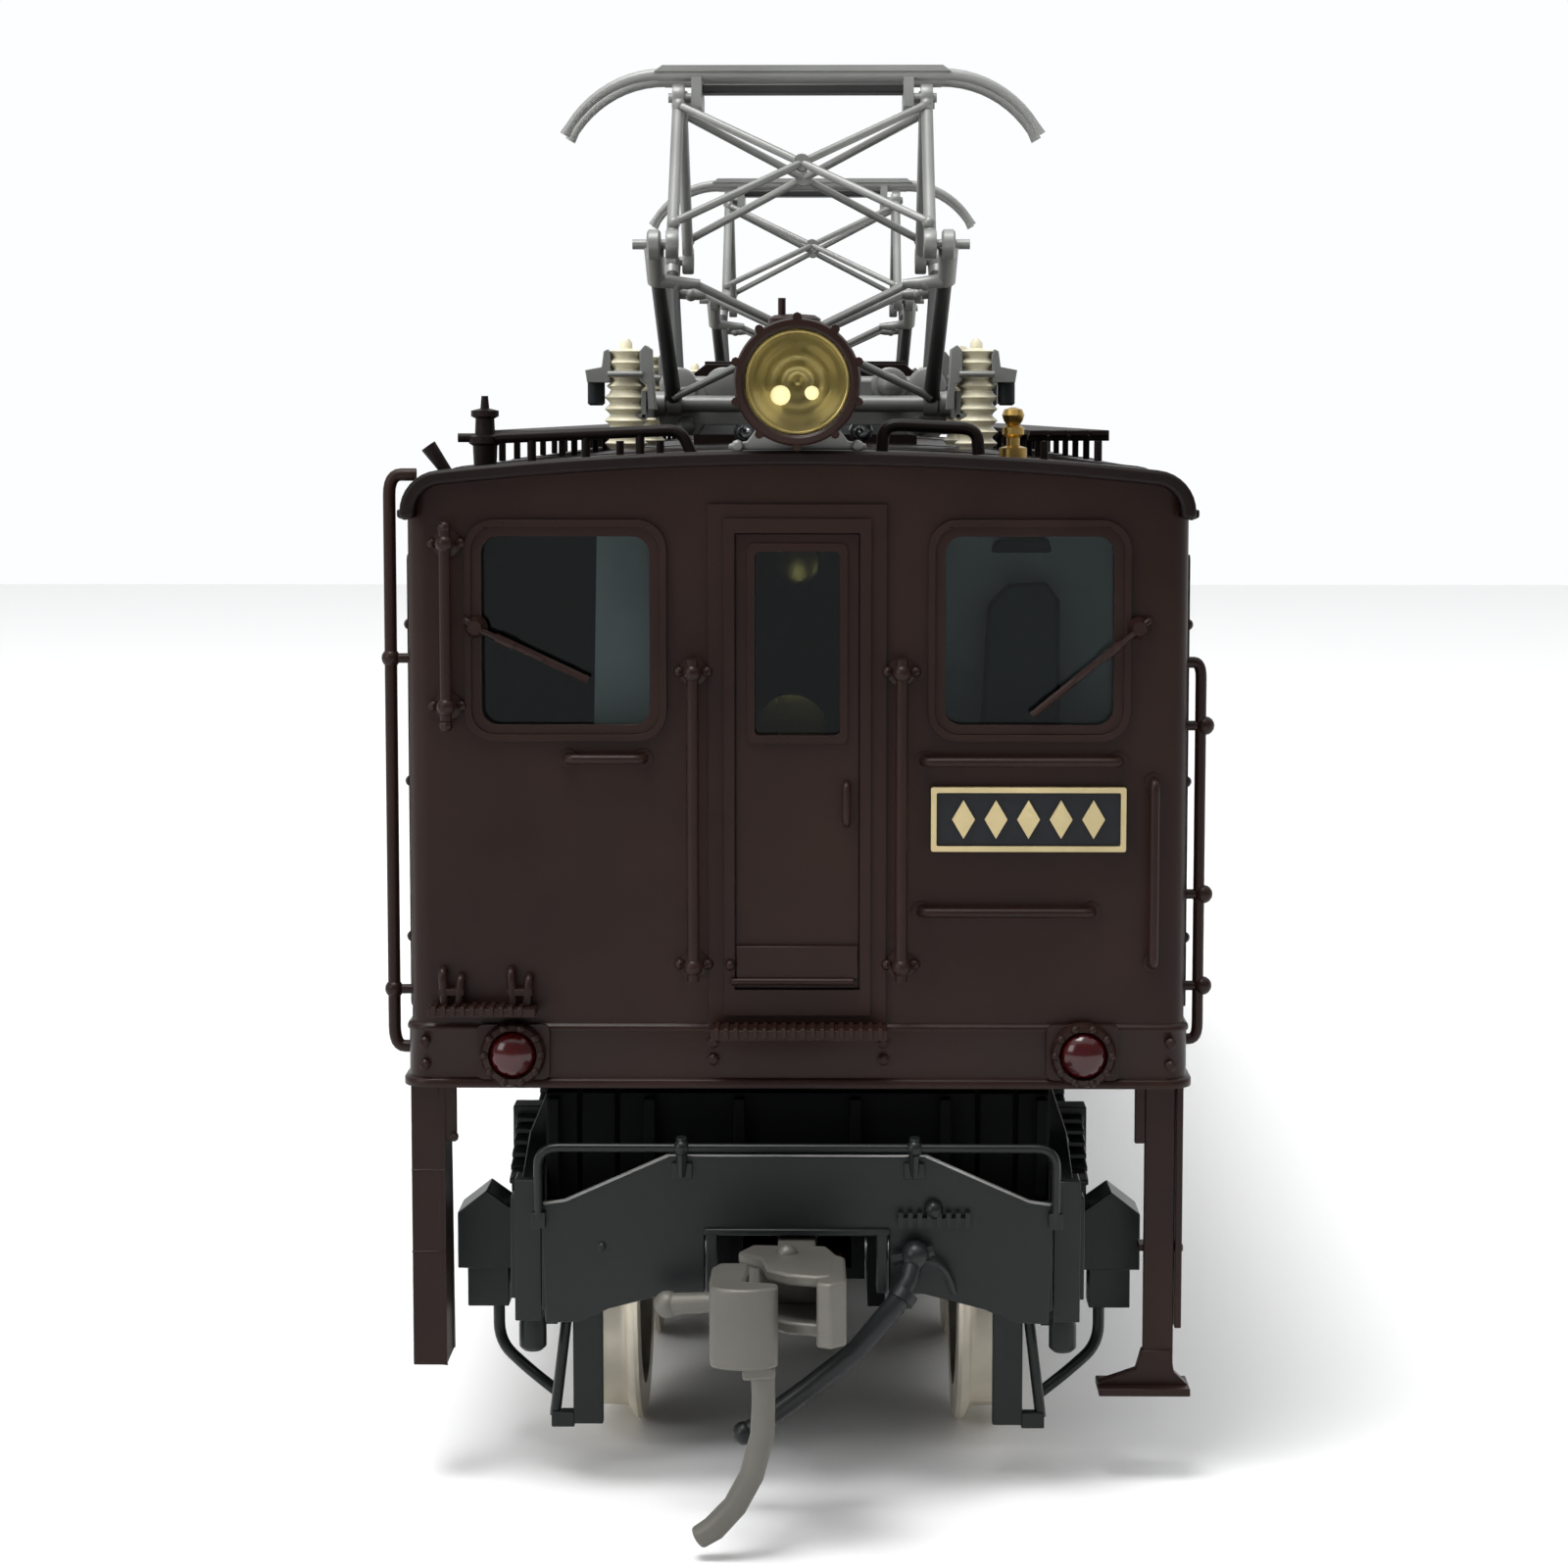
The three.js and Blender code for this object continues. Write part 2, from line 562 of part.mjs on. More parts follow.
// The coupler's shank and head, with its guard arm on the right.
function couplerHead() {
  const shank = polygon([
    [-0.9, -25], [-0.7, -33], [-2.9, -34.4], [-3.3, -35.2], [-1.6, -35.4], [-1.3, -36.9],
    [0.5, -37.4], [0.9, -39.3], [0.9, -40.3], [1.5, COUPLER_FACE_Y + 0.2], [2.1, -40],
    [2.1, -36], [1.3, -34], [0.7, -33], [0.9, -25],
  ]);
  const bottom = COUPLER_Z - 0.7;
  const top = COUPLER_Z + 0.7;
  const eye = bar([0, COUPLER_PIVOT_Y, bottom], [0, COUPLER_PIVOT_Y, top], 1.4, 8);
  const bore = bar([0, COUPLER_PIVOT_Y, bottom - 1], [0, COUPLER_PIVOT_Y, top + 1], 0.75, 8);
  const face = polygon([
    [-2.6, -34.3], [-2.9, -35.0], [-1.3, -35.3], [-1.3, -36.9], [0.5, -37.4], [0.9, -39.3],
    [0.9, -40.3], [1.5, COUPLER_FACE_Y + 0.2], [2.1, -40], [2.1, -36], [1.3, -34.2],
  ]);
  return cut(
    join(plate(shank, "Z", bottom, top), eye, plate(face, "Z", 9.4, 12.9)),
    bore,
  );
}

// The knuckle that swings on the left of the head, with its bent trip pin.
function knuckle() {
  const p = KNUCKLE_PIVOT;
  const outline = polygon([
    [p.x + 0.7, p.y + 0.5], [p.x - 0.6, p.y + 0.5], [-3.6, -37.4], [-3.6, -39.9],
    [-2.9, COUPLER_FACE_Y], [-1.3, COUPLER_FACE_Y], [-0.6, -40.3], [-0.7, -39.6],
    [-2.2, -39.2], [-2.0, -37.4],
  ]);
  const pin = wire([
    [-2.4, -39.9, 8.8], [-2.4, -39.9, 6], [-2.5, -39.8, 3.6], [-3.1, -39.6, 1.8], [-3.8, -39.4, 1.2],
  ], 0.45, 6);
  return join(plate(outline, "Z", 8.4, 12.5), pin);
}

// ---------------------------------------------------------------- drive

function motor() {
  const [half, tall, chamfer] = [7.4, 5.2, 2];
  const s = polygon([
    [-half + chamfer, SHAFT_Z - tall], [half - chamfer, SHAFT_Z - tall],
    [half, SHAFT_Z - tall + chamfer], [half, SHAFT_Z + tall - chamfer],
    [half - chamfer, SHAFT_Z + tall], [-half + chamfer, SHAFT_Z + tall],
    [-half, SHAFT_Z + tall - chamfer], [-half, SHAFT_Z - tall + chamfer],
  ]);
  s.holes.push(circle(0, SHAFT_Z, 1.3));
  return plate(s, "Y", -13, 13, 3);
}

// The motor's shaft, with a flywheel and a coupling cup at each end.
function motorShaft() {
  const end = [
    [0.9, 14], [4.8, 14], [4.8, 18], [3.3, 18.2], [3.3, 22.4], [2.75, 22.4], [2.75, 19.4],
    [0, 19.4],
  ];
  const other = end.map(([r, y]) => [r, -y]).reverse();
  return turned([...other, ...end], "Y", 10, 0, 0, SHAFT_Z);
}

// A box of electrical gear hung under one side of the floor, between the bogies.
function equipmentBox(side) {
  const outline = polygon([
    [side * 9.4, 9.8], [side * 14.6, 9.8], [side * 15.4, 10.6],
    [side * 15.4, FLOOR_BOTTOM - SEAT_GAP], [side * 9.4, FLOOR_BOTTOM - SEAT_GAP],
  ]);
  return plate(outline, "Y", -14, 14);
}

// ---------------------------------------------------------------- assembly

function bogie(end) {
  const group = new THREE.Group();
  const add = (name, shape, material) => group.add(piece(`${end}_${name}`, shape, material));
  add("bogie_side_left", bogieSide(-1), BLACK());
  add("bogie_side_right", bogieSide(1), BLACK());
  add("headstock", headstock(), BLACK());
  add("bogie_centre_frame", centreFrame(), BLACK());
  add("draw_box", drawBox(), BLACK());
  AXLES.forEach((axle, i) => add(`wheelset_${i + 1}`, wheelset(axle), NICKEL()));
  add("worm_shaft", wormShaft(), STEEL());
  add("coupler_head", couplerHead(), CAST());
  add("coupler_knuckle", knuckle(), CAST());
  group.position.y = -BOGIE_Y;
  return group;
}

function pantograph(end) {
  const group = new THREE.Group();
  const add = (name, shape) => group.add(piece(`${end}_pantograph_${name}`, shape, SILVER()));
  add("base", pantographBase());
  add("lower_frame_near", lowerFrame(-1));
  add("lower_frame_far", lowerFrame(1));
  add("upper_frame_near", upperFrame(-1));
  add("upper_frame_far", upperFrame(1));
  add("head", collectorHead());
  group.position.y = -PANTO_Y;
  return group;
}

function locomotiveEnd(end) {
  const group = new THREE.Group();
  const add = (name, shape, material) => group.add(piece(`${end}_${name}`, shape, material));
  add("cab_end", cabEnd(), BROWN());
  add("headlight", headlight(), BROWN());
  add("headlight_lens", headlightLens(), GLASS());
  add("ladder", ladder(), BROWN());
  add("step_post", stepPost(), BROWN());
  add("handrail_left", handrail(-1, 19.6, 45.1, [22.3, 37.1, 42.4]), BROWN());
  add("handrail_right", handrail(1, 20.1, 36.7, [22.5, 26.6, 34.1]), BROWN());
  group.add(pantograph(end), bogie(end));
  return group;
}

const locomotive = new THREE.Group();
const rear = locomotiveEnd("rear");
rear.rotation.z = Math.PI;
locomotive.add(
  piece("side_panel_left", sidePanel(-1), BROWN()),
  piece("side_panel_right", sidePanel(1), BROWN()),
  piece("roof_panel", roofPanel(), BROWN()),
  piece("floor_plate", floorPlate(), BLACK()),
  piece("roof_monitor", roofMonitor(), BROWN()),
  piece("walkway_left", walkway(-1), BROWN()),
  piece("walkway_right", walkway(1), BROWN()),
  piece("motor", motor(), STEEL()),
  piece("motor_shaft", motorShaft(), STEEL()),
  piece("equipment_box_left", equipmentBox(-1), BLACK()),
  piece("equipment_box_right", equipmentBox(1), BLACK()),
  locomotiveEnd("front"),
  rear,
);

export default locomotive;
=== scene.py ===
"""A 1:80 model electric locomotive, made piece by piece around its frame.

Sizes are millimetres in the frame of the locomotive: +X to the right of someone who faces the
front end, +Y towards the rear, +Z up, and zero where the wheel flanges stand.
"""
import json
import math
import bmesh
import bpy
import numpy as np
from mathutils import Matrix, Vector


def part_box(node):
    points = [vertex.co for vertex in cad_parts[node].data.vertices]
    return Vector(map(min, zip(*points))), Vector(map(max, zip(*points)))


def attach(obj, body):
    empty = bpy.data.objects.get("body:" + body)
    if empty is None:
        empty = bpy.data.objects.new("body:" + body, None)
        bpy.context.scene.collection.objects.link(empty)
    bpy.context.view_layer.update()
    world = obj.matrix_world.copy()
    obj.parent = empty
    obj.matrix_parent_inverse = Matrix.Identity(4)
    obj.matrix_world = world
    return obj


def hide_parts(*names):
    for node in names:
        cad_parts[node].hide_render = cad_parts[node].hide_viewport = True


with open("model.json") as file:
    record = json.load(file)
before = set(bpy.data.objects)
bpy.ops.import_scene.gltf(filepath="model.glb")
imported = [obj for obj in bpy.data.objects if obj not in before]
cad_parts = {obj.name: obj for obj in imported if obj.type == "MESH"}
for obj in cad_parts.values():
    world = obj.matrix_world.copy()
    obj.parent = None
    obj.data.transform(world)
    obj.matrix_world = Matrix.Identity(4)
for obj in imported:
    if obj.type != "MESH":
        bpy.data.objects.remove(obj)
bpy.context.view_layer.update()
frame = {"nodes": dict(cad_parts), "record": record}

# ---- Camera, floor and light ---------------------------------------------------------------
# The camera looks almost level at the front end from a hand's breadth away. The floor is a pale
# sheet under a broad ceiling light, in a white room that is dimmer in front of the model.
MM = 0.001
scene = bpy.context.scene
scene.view_settings.view_transform = "Standard"
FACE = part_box("front_cab_end")[0][1] / MM
EYE = (1.53, FACE - 161.6, 47.88)
PITCH_DOWN, YAW_LEFT = 5.73, 0.75
camera = bpy.data.objects.new("camera", bpy.data.cameras.new("camera"))
camera.data.sensor_width = 36
camera.data.lens = 85.07
camera.data.clip_start = 0.005
camera.location = [v * MM for v in EYE]
camera.rotation_euler = (math.radians(90 - PITCH_DOWN), 0, math.radians(YAW_LEFT))
scene.collection.objects.link(camera)
scene.camera = camera


def flat_material(name, colour, roughness):
    """A plain material for what is not part of the object."""
    made = bpy.data.materials.new(name)
    made.use_nodes = True
    shader = made.node_tree.nodes["Principled BSDF"]
    shader.inputs["Base Color"].default_value = (*colour, 1)
    shader.inputs["Roughness"].default_value = roughness
    return made


floor_mesh = bpy.data.meshes.new("floor")
SIDE_EDGE, NEAR_EDGE, FAR_EDGE = 0.8, -0.42, 0.8
floor_mesh.from_pydata(
    [
        (-SIDE_EDGE, NEAR_EDGE, 0), (SIDE_EDGE, NEAR_EDGE, 0), (SIDE_EDGE, FAR_EDGE, 0),
        (-SIDE_EDGE, FAR_EDGE, 0)
    ],
    [], [(0, 1, 2, 3)],
)
floor = bpy.data.objects.new("floor", floor_mesh)
floor_mesh.materials.append(flat_material("pale_floor", (0.93, 0.93, 0.93), 0.7))
scene.collection.objects.link(floor)

room = bpy.data.worlds.new("room")
room.use_nodes = True
walls = room.node_tree.nodes["Background"]
walls.inputs["Color"].default_value = (0.98, 0.99, 1.0, 1)
towards = room.node_tree.nodes.new("ShaderNodeTexCoord")
split = room.node_tree.nodes.new("ShaderNodeSeparateXYZ")
shade = room.node_tree.nodes.new("ShaderNodeMapRange")
shade.inputs["From Min"].default_value = -0.3
shade.inputs["From Max"].default_value = 0.6
shade.inputs["To Min"].default_value = 0.22
shade.inputs["To Max"].default_value = 0.85
ray = room.node_tree.nodes.new("ShaderNodeLightPath")
brighter = room.node_tree.nodes.new("ShaderNodeMath")
brighter.operation = "MAXIMUM"
link = room.node_tree.links.new
link(towards.outputs["Generated"], split.inputs["Vector"])
link(split.outputs["Y"], shade.inputs["Value"])
link(shade.outputs["Result"], brighter.inputs[0])
link(ray.outputs["Is Camera Ray"], brighter.inputs[1])
link(brighter.outputs["Value"], walls.inputs["Strength"])
scene.world = room


def soft_box(name, place, aim, size, power):
    """A square area light at a place, turned to face a point."""
    light = bpy.data.lights.new(name, "AREA")
    light.size = size
    light.energy = power
    lamp = bpy.data.objects.new(name, light)
    lamp.location = place
    away = np.array(place) - np.array(aim)
    lamp.rotation_euler = (
        math.atan2(math.hypot(away[0], away[1]), away[2]), 0, math.atan2(away[0], -away[1])
    )
    scene.collection.objects.link(lamp)


soft_box("ceiling", (0, 0, 1.5), (0, 0, 0), 3.0, 24.0)
soft_box("overhead", (-0.10, -0.20, 0.55), (0, -0.03, 0.03), 0.22, 2.2)
soft_box("front_left", (-0.50, -0.45, 0.30), (0, -0.06, 0.03), 0.30, 1.3)

# ---- Body walls ----------------------------------------------------------------------------
# The ends and sides are sheet brass, cut to shape and bent round the corners, sprayed in a
# dark reddish brown satin paint. The sill is a separate strip soldered round the bottom edge.
ENDS = (("front", 1), ("rear", -1))
BOX_LOW, BOX_HIGH = (np.array(corner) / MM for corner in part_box("front_cab_end"))
SIDE_HIGH = np.array(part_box("side_panel_right")[1]) / MM
HALF_WIDTH = BOX_HIGH[0]
BOTTOM = BOX_LOW[2]
EAVES = SIDE_HIGH[2]
CORNER = 0.95
SHEET = 0.5


def finish(name, colour, roughness, metallic=0.0, coat=0.0, mottle=0.25, grain=0.25, relief=0.006,
           specular=0.3):
    """Noise over the object's own coordinates. A broad cloud shifts the colour by the share
    mottle, a fine grain, given in millimetres, lifts the surface by relief millimetres, and
    the cloud also moves the roughness a little."""
    made = bpy.data.materials.new(name)
    made.use_nodes = True
    tree = made.node_tree
    shader = tree.nodes["Principled BSDF"]
    shader.inputs["Metallic"].default_value = metallic
    shader.inputs["Specular IOR Level"].default_value = specular
    shader.inputs["Coat Weight"].default_value = coat
    shader.inputs["Coat Roughness"].default_value = 0.25
    place = tree.nodes.new("ShaderNodeTexCoord")
    cloud = tree.nodes.new("ShaderNodeTexNoise")
    cloud.inputs["Scale"].default_value = 160
    cloud.inputs["Detail"].default_value = 6
    fine = tree.nodes.new("ShaderNodeTexNoise")
    fine.inputs["Scale"].default_value = 1 / (grain * MM)
    fine.inputs["Detail"].default_value = 3
    tint = tree.nodes.new("ShaderNodeValToRGB")
    tint.color_ramp.elements[0].position = 0.3
    tint.color_ramp.elements[1].position = 0.75
    tint.color_ramp.elements[0].color = (*[c * (1 - mottle) for c in colour], 1)
    tint.color_ramp.elements[1].color = (*[min(1.0, c * (1 + mottle)) for c in colour], 1)
    gloss = tree.nodes.new("ShaderNodeMapRange")
    gloss.inputs["To Min"].default_value = roughness - 0.07
    gloss.inputs["To Max"].default_value = roughness + 0.09
    bump = tree.nodes.new("ShaderNodeBump")
    bump.inputs["Distance"].default_value = relief * MM
    link = tree.links.new
    link(place.outputs["Object"], cloud.inputs["Vector"])
    link(place.outputs["Object"], fine.inputs["Vector"])
    link(cloud.outputs["Fac"], tint.inputs["Fac"])
    link(tint.outputs["Color"], shader.inputs["Base Color"])
    link(cloud.outputs["Fac"], gloss.inputs["Value"])
    link(gloss.outputs["Result"], shader.inputs["Roughness"])
    link(fine.outputs["Fac"], bump.inputs["Height"])
    link(bump.outputs["Normal"], shader.inputs["Normal"])
    return made


BROWN = finish("brown_satin_paint", (0.0184, 0.0080, 0.0060), 0.38, coat=0.03, specular=0.16)


def piece(name, surface, material, slot, body, bevel=0.0, sharp=38):
    """A mesh object from (points in millimetres, faces), riding on a body."""
    points, faces = surface
    mesh = bpy.data.meshes.new(name)
    mesh.from_pydata((np.asarray(points, float) * MM).tolist(), [], faces)
    work = bmesh.new()
    work.from_mesh(mesh)
    bmesh.ops.remove_doubles(work, verts=work.verts, dist=2e-7)
    bmesh.ops.recalc_face_normals(work, faces=work.faces)
    work.to_mesh(mesh)
    work.free()
    mesh.shade_smooth()
    mesh.set_sharp_from_angle(angle=math.radians(sharp))
    mesh.materials.append(material)
    made = bpy.data.objects.new(name, mesh)
    scene.collection.objects.link(made)
    if bevel:
        rounding = made.modifiers.new("edges", "BEVEL")
        rounding.width = bevel * MM
        rounding.segments = 2
        rounding.limit_method = "ANGLE"
        rounding.angle_limit = math.radians(40)
    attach(made, body)
    return made


def at_both_ends(name, surface, material, slot, body=None, stands_for=(), **options):
    """The same piece at the front end, and turned half round at the rear end."""
    points, faces = surface
    for end, sign in ENDS:
        turned = np.asarray(points, float) * (sign, sign, 1)
        rides = f"{end}_{body}" if body else "body"
        made = piece(f"{end}_{name}", (turned, faces), material, slot, rides, **options)
        if stands_for:
            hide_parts(*[f"{end}_{node}" for node in stands_for])


def together(*surfaces):
    """Several surfaces as one list of points and one list of faces."""
    points, faces, count = [], [], 0
    for some, sides in surfaces:
        points.append(np.asarray(some, float))
        faces += [tuple(i + count for i in side) for side in sides]
        count += len(some)
    return np.concatenate(points), faces


def rounded_rectangle(u0, u1, v0, v1, radius, steps=6):
    """Four quarter circles, one round each corner, joined by straight runs."""
    angle = np.linspace(0, math.pi / 2, steps + 1)
    turns = [(u1, v1, 0, -1, -1), (u0, v1, 1, 1, -1), (u0, v0, 2, 1, 1), (u1, v0, 3, -1, 1)]
    rows = []
    for u, v, quarter, su, sv in turns:
        a = angle + quarter * math.pi / 2
        rows.append(np.column_stack((
            u + su * radius + radius * np.cos(a), v + sv * radius + radius * np.sin(a),
        )))
    return np.concatenate(rows)


def cut_sheet(outline, holes=(), w0=0.0, w1=SHEET):
    """A flat sheet between depths w0 and w1, filled inside its outline and open at its holes."""
    curve = bpy.data.curves.new("cutting_line", "CURVE")
    curve.dimensions = "2D"
    curve.fill_mode = "BOTH"
    curve.extrude = (w1 - w0) / 2
    for loop in (outline, *holes):
        loop = np.asarray(loop, float)
        spline = curve.splines.new("POLY")
        spline.points.add(len(loop) - 1)
        flat = np.column_stack((loop, np.zeros(len(loop)), np.ones(len(loop))))
        spline.points.foreach_set("co", flat.ravel())
        spline.use_cyclic_u = True
    holder = bpy.data.objects.new("cutting_line", curve)
    scene.collection.objects.link(holder)
    mesh = bpy.data.meshes.new_from_object(holder)
    points = np.empty(len(mesh.vertices) * 3)
    mesh.vertices.foreach_get("co", points)
    faces = [tuple(face.vertices) for face in mesh.polygons]
    bpy.data.objects.remove(holder)
    bpy.data.meshes.remove(mesh)
    points = points.reshape(-1, 3)
    points[:, 2] += (w0 + w1) / 2
    return points, faces


def on_end(surface):
    """Turns (across, up, depth behind the face) into places on the front end."""
    (u, v, w), faces = np.asarray(surface[0]).T, surface[1]
    return np.column_stack((u, FACE + w, v)), faces


def on_side(surface, side):
    """Turns (along, up, depth behind the side) into places on one side of the body."""
    (u, v, w), faces = np.asarray(surface[0]).T, surface[1]
    return np.column_stack((side * (HALF_WIDTH - w), u, v)), faces


def bent_round_corners(surface):
    """Cuts a flat sheet across at each bend, and rolls it round the two corners: past the
    straight front, the distance along the sheet becomes an angle, then a place on the side."""
    points, faces = surface
    start = HALF_WIDTH - CORNER
    work = bmesh.new()
    mesh = bpy.data.meshes.new("flat_sheet")
    mesh.from_pydata(points.tolist(), [], faces)
    work.from_mesh(mesh)
    for share in np.linspace(0, 1, 9):
        for sign in (-1, 1):
            across = (sign * (start + share * CORNER * math.pi / 2), 0, 0)
            everything = list(work.verts) + list(work.edges) + list(work.faces)
            bmesh.ops.bisect_plane(work, geom=everything, plane_co=across, plane_no=(1, 0, 0))
    work.to_mesh(mesh)
    work.free()
    flat = np.empty(len(mesh.vertices) * 3)
    mesh.vertices.foreach_get("co", flat)
    faces = [tuple(face.vertices) for face in mesh.polygons]
    bpy.data.meshes.remove(mesh)
    s, z, w = flat.reshape(-1, 3).T
    past = np.clip(np.abs(s) - start, 0, None)
    angle = np.minimum(past / CORNER, math.pi / 2)
    along = np.clip(past - CORNER * math.pi / 2, 0, None)
    x = np.where(past > 0, np.sign(s) * (start + (CORNER - w) * np.sin(angle)), s)
    y = FACE + CORNER - (CORNER - w) * np.cos(angle) + along
    return np.column_stack((x, y, z)), faces


ROOF_TOP, ARCH_RADIUS, ROOF_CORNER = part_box("roof_panel")[1][2] / MM, 144.0, 1.8
ROOF_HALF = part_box("roof_panel")[1][0] / MM


def roof_arch(inset, steps=40):
    """The roof's section: a shallow arc, with a small arc rounding each shoulder."""
    corner, radius = ROOF_CORNER - inset, ARCH_RADIUS - inset
    x = ROOF_HALF - ROOF_CORNER
    z = ROOF_TOP - ARCH_RADIUS + math.sqrt((ARCH_RADIUS - ROOF_CORNER) ** 2 - x ** 2)
    lean = math.atan2(z - ROOF_TOP + ARCH_RADIUS, x)
    small = np.linspace(0, lean, 9)
    large = np.linspace(lean, math.pi - lean, steps)
    last = np.linspace(math.pi - lean, math.pi, 9)
    return np.concatenate((
        np.column_stack((x + corner * np.cos(small), z + corner * np.sin(small))),
        np.column_stack((radius * np.cos(large), ROOF_TOP - ARCH_RADIUS + radius * np.sin(large)))[1:-1],
        np.column_stack((-x + corner * np.cos(last), z + corner * np.sin(last))),
    ))


CAB_GLASS = (6.43, 13.82, 34.25, 42.52)
DOOR_GLASS = (-1.86, 1.86, 33.8, 41.84)
gable = roof_arch(0.62)
gable = gable[np.abs(gable[:, 0]) < HALF_WIDTH - CORNER / 2]
wing = HALF_WIDTH - CORNER + CORNER * math.pi / 2 + 0.35
wall_outline = np.concatenate((
    [(-wing, BOTTOM), (wing, BOTTOM), (wing, EAVES), (gable[0, 0], EAVES)], gable,
    [(gable[-1, 0], EAVES), (-wing, EAVES)],
))
x0, x1, z0, z1 = CAB_GLASS
wall_holes = [
    rounded_rectangle(x0, x1, z0, z1, 0.75), rounded_rectangle(-x1, -x0, z0, z1, 0.75),
    rounded_rectangle(*DOOR_GLASS, 0.25),
]
at_both_ends(
    "cab_wall", bent_round_corners(cut_sheet(wall_outline, wall_holes)), BROWN, "body_brown",
    stands_for=["cab_end"],
)

SIDE_GLASS = (34.0, 39.8, 0.55)
WINDOW_PLACES = [(k * 22.75, 3.2) for k in range(-2, 3)] + [(s * 57.9, 3.2) for s in (-1, 1)]
DOOR_PLACES = [(s * 67.1, 2.2) for s in (-1, 1)]
side_end = -FACE - CORNER - 0.36
side_outline = [(-side_end, BOTTOM), (side_end, BOTTOM), (side_end, EAVES), (-side_end, EAVES)]
side_holes = [
    rounded_rectangle(y - half, y + half, SIDE_GLASS[0], SIDE_GLASS[1], SIDE_GLASS[2])
    for y, half in WINDOW_PLACES + DOOR_PLACES
]
for name, side in (("left", -1), ("right", 1)):
    wall = on_side(cut_sheet(side_outline, side_holes), side)
    made = piece(f"side_wall_{name}", wall, BROWN, "body_brown", "body")
    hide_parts(f"side_panel_{name}")


def quads(rows, columns, close_rows=False, close_columns=False):
    """The four-sided faces of a grid of points, joined up across an edge where it closes."""
    i = np.arange(rows if close_rows else rows - 1)
    j = np.arange(columns if close_columns else columns - 1)
    a, b = (grid.ravel() for grid in np.meshgrid(i, j, indexing="ij"))
    c, d = (a + 1) % rows, (b + 1) % columns
    corners = (a * columns + b, c * columns + b, c * columns + d, a * columns + d)
    return [tuple(face) for face in np.column_stack(corners).tolist()]


def round_the_body(profile, radius=CORNER):
    """A closed section, given as (distance outside the wall, height), carried all round the
    rounded rectangle of the body."""
    path = rounded_rectangle(-HALF_WIDTH, HALF_WIDTH, FACE, -FACE, radius, 8)
    ahead, behind = np.roll(path, -1, 0), np.roll(path, 1, 0)
    along = (ahead - path) / np.linalg.norm(ahead - path, axis=1)[:, None]
    along += (path - behind) / np.linalg.norm(path - behind, axis=1)[:, None]
    along /= np.linalg.norm(along, axis=1)[:, None]
    out = np.column_stack((along[:, 1], -along[:, 0]))
    section = np.asarray(profile, float)
    flat = path[:, None, :] + out[:, None, :] * section[None, :, :1]
    height = np.broadcast_to(section[None, :, 1:], (len(path), len(section), 1))
    points = np.concatenate((flat, height), axis=2).reshape(-1, 3)
    return points, quads(len(path), len(section), True, True)


SILL_TOP = BOTTOM + 2.75
sill_section = [
    (-0.1, BOTTOM), (0.34, BOTTOM), (0.36, BOTTOM + 0.06), (0.36, BOTTOM + 0.32),
    (0.3, BOTTOM + 0.38), (0.13, BOTTOM + 0.44), (0.13, SILL_TOP - 0.3), (0.2, SILL_TOP - 0.24),
    (0.22, SILL_TOP - 0.12), (0.18, SILL_TOP), (0.02, SILL_TOP + 0.1), (-0.1, SILL_TOP),
]
piece("sill", round_the_body(sill_section), BROWN, "body_brown", "body", sharp=50)

# ---- Roof ----------------------------------------------------------------------------------
# One arched sheet over the whole body, with a rolled lip that overhangs each end. Thin seams
# cross it where the real roof lifts off in sections.
ROOF_BROWN = finish("roof_brown_paint", (0.0085, 0.0045, 0.0042), 0.42, mottle=0.3, specular=0.14)
ROOF_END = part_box("roof_panel")[1][1] / MM


def prism(outline, axis, a, b):
    """An outline, as (first, second) of the other two axes, carried along an axis."""
    flat = np.asarray(outline, float)
    count = len(flat)
    ends = [np.column_stack((flat, np.full(count, w))) for w in (a, b)]
    u, v, w = np.concatenate(ends).T
    points = {"X": (w, u, v), "Y": (u, w, v), "Z": (u, v, w)}[axis]
    i = np.arange(count)
    j = (i + 1) % count
    walls = np.column_stack((i, j, j + count, i + count)).tolist()
    caps = [tuple(i.tolist()), tuple((i + count).tolist())]
    return np.column_stack(points), [tuple(w) for w in walls] + caps


def arch_band(outer, inner, y0, y1, foot=EAVES + 0.02):
    """The band between two insets of the arch, closed at its feet, carried along Y."""
    over, under = roof_arch(outer), roof_arch(inner)
    feet = [(under[-1, 0], foot), (over[-1, 0], foot)]
    starts = [(over[0, 0], foot), (under[0, 0], foot)]
    ring = np.concatenate((starts[:1], over, feet[::-1], under[::-1], starts[1:]))
    return prism(ring, "Y", y0, y1)


roof = piece(
    "roof_sheet", arch_band(0.0, 0.75, FACE + 0.3, -FACE - 0.3), ROOF_BROWN, "body_brown", "body"
)
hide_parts("roof_panel")
at_both_ends(
    "roof_lip", arch_band(-0.03, 0.6, -ROOF_END, FACE + 0.35, EAVES - 0.12), ROOF_BROWN, "body_brown",
    bevel=0.16,
)
seams = [arch_band(-0.05, 0.3, y - 0.2, y + 0.2, EAVES + 0.5) for y in (-31, 31, -62, 62)]
piece("roof_seams", together(*seams), ROOF_BROWN, "body_brown", "body", bevel=0.05)
for name, side in (("left", -1), ("right", 1)):
    gutter = prism(
        [(side * (ROOF_HALF - 0.1), EAVES - 0.25), (side * (ROOF_HALF + 0.3), EAVES - 0.1),
         (side * (ROOF_HALF + 0.3), EAVES + 0.25), (side * (ROOF_HALF - 0.1), EAVES + 0.2)],
        "Y", FACE + 0.7, -FACE - 0.7,
    )
    piece(f"gutter_{name}", gutter, ROOF_BROWN, "body_brown", "body", bevel=0.08)
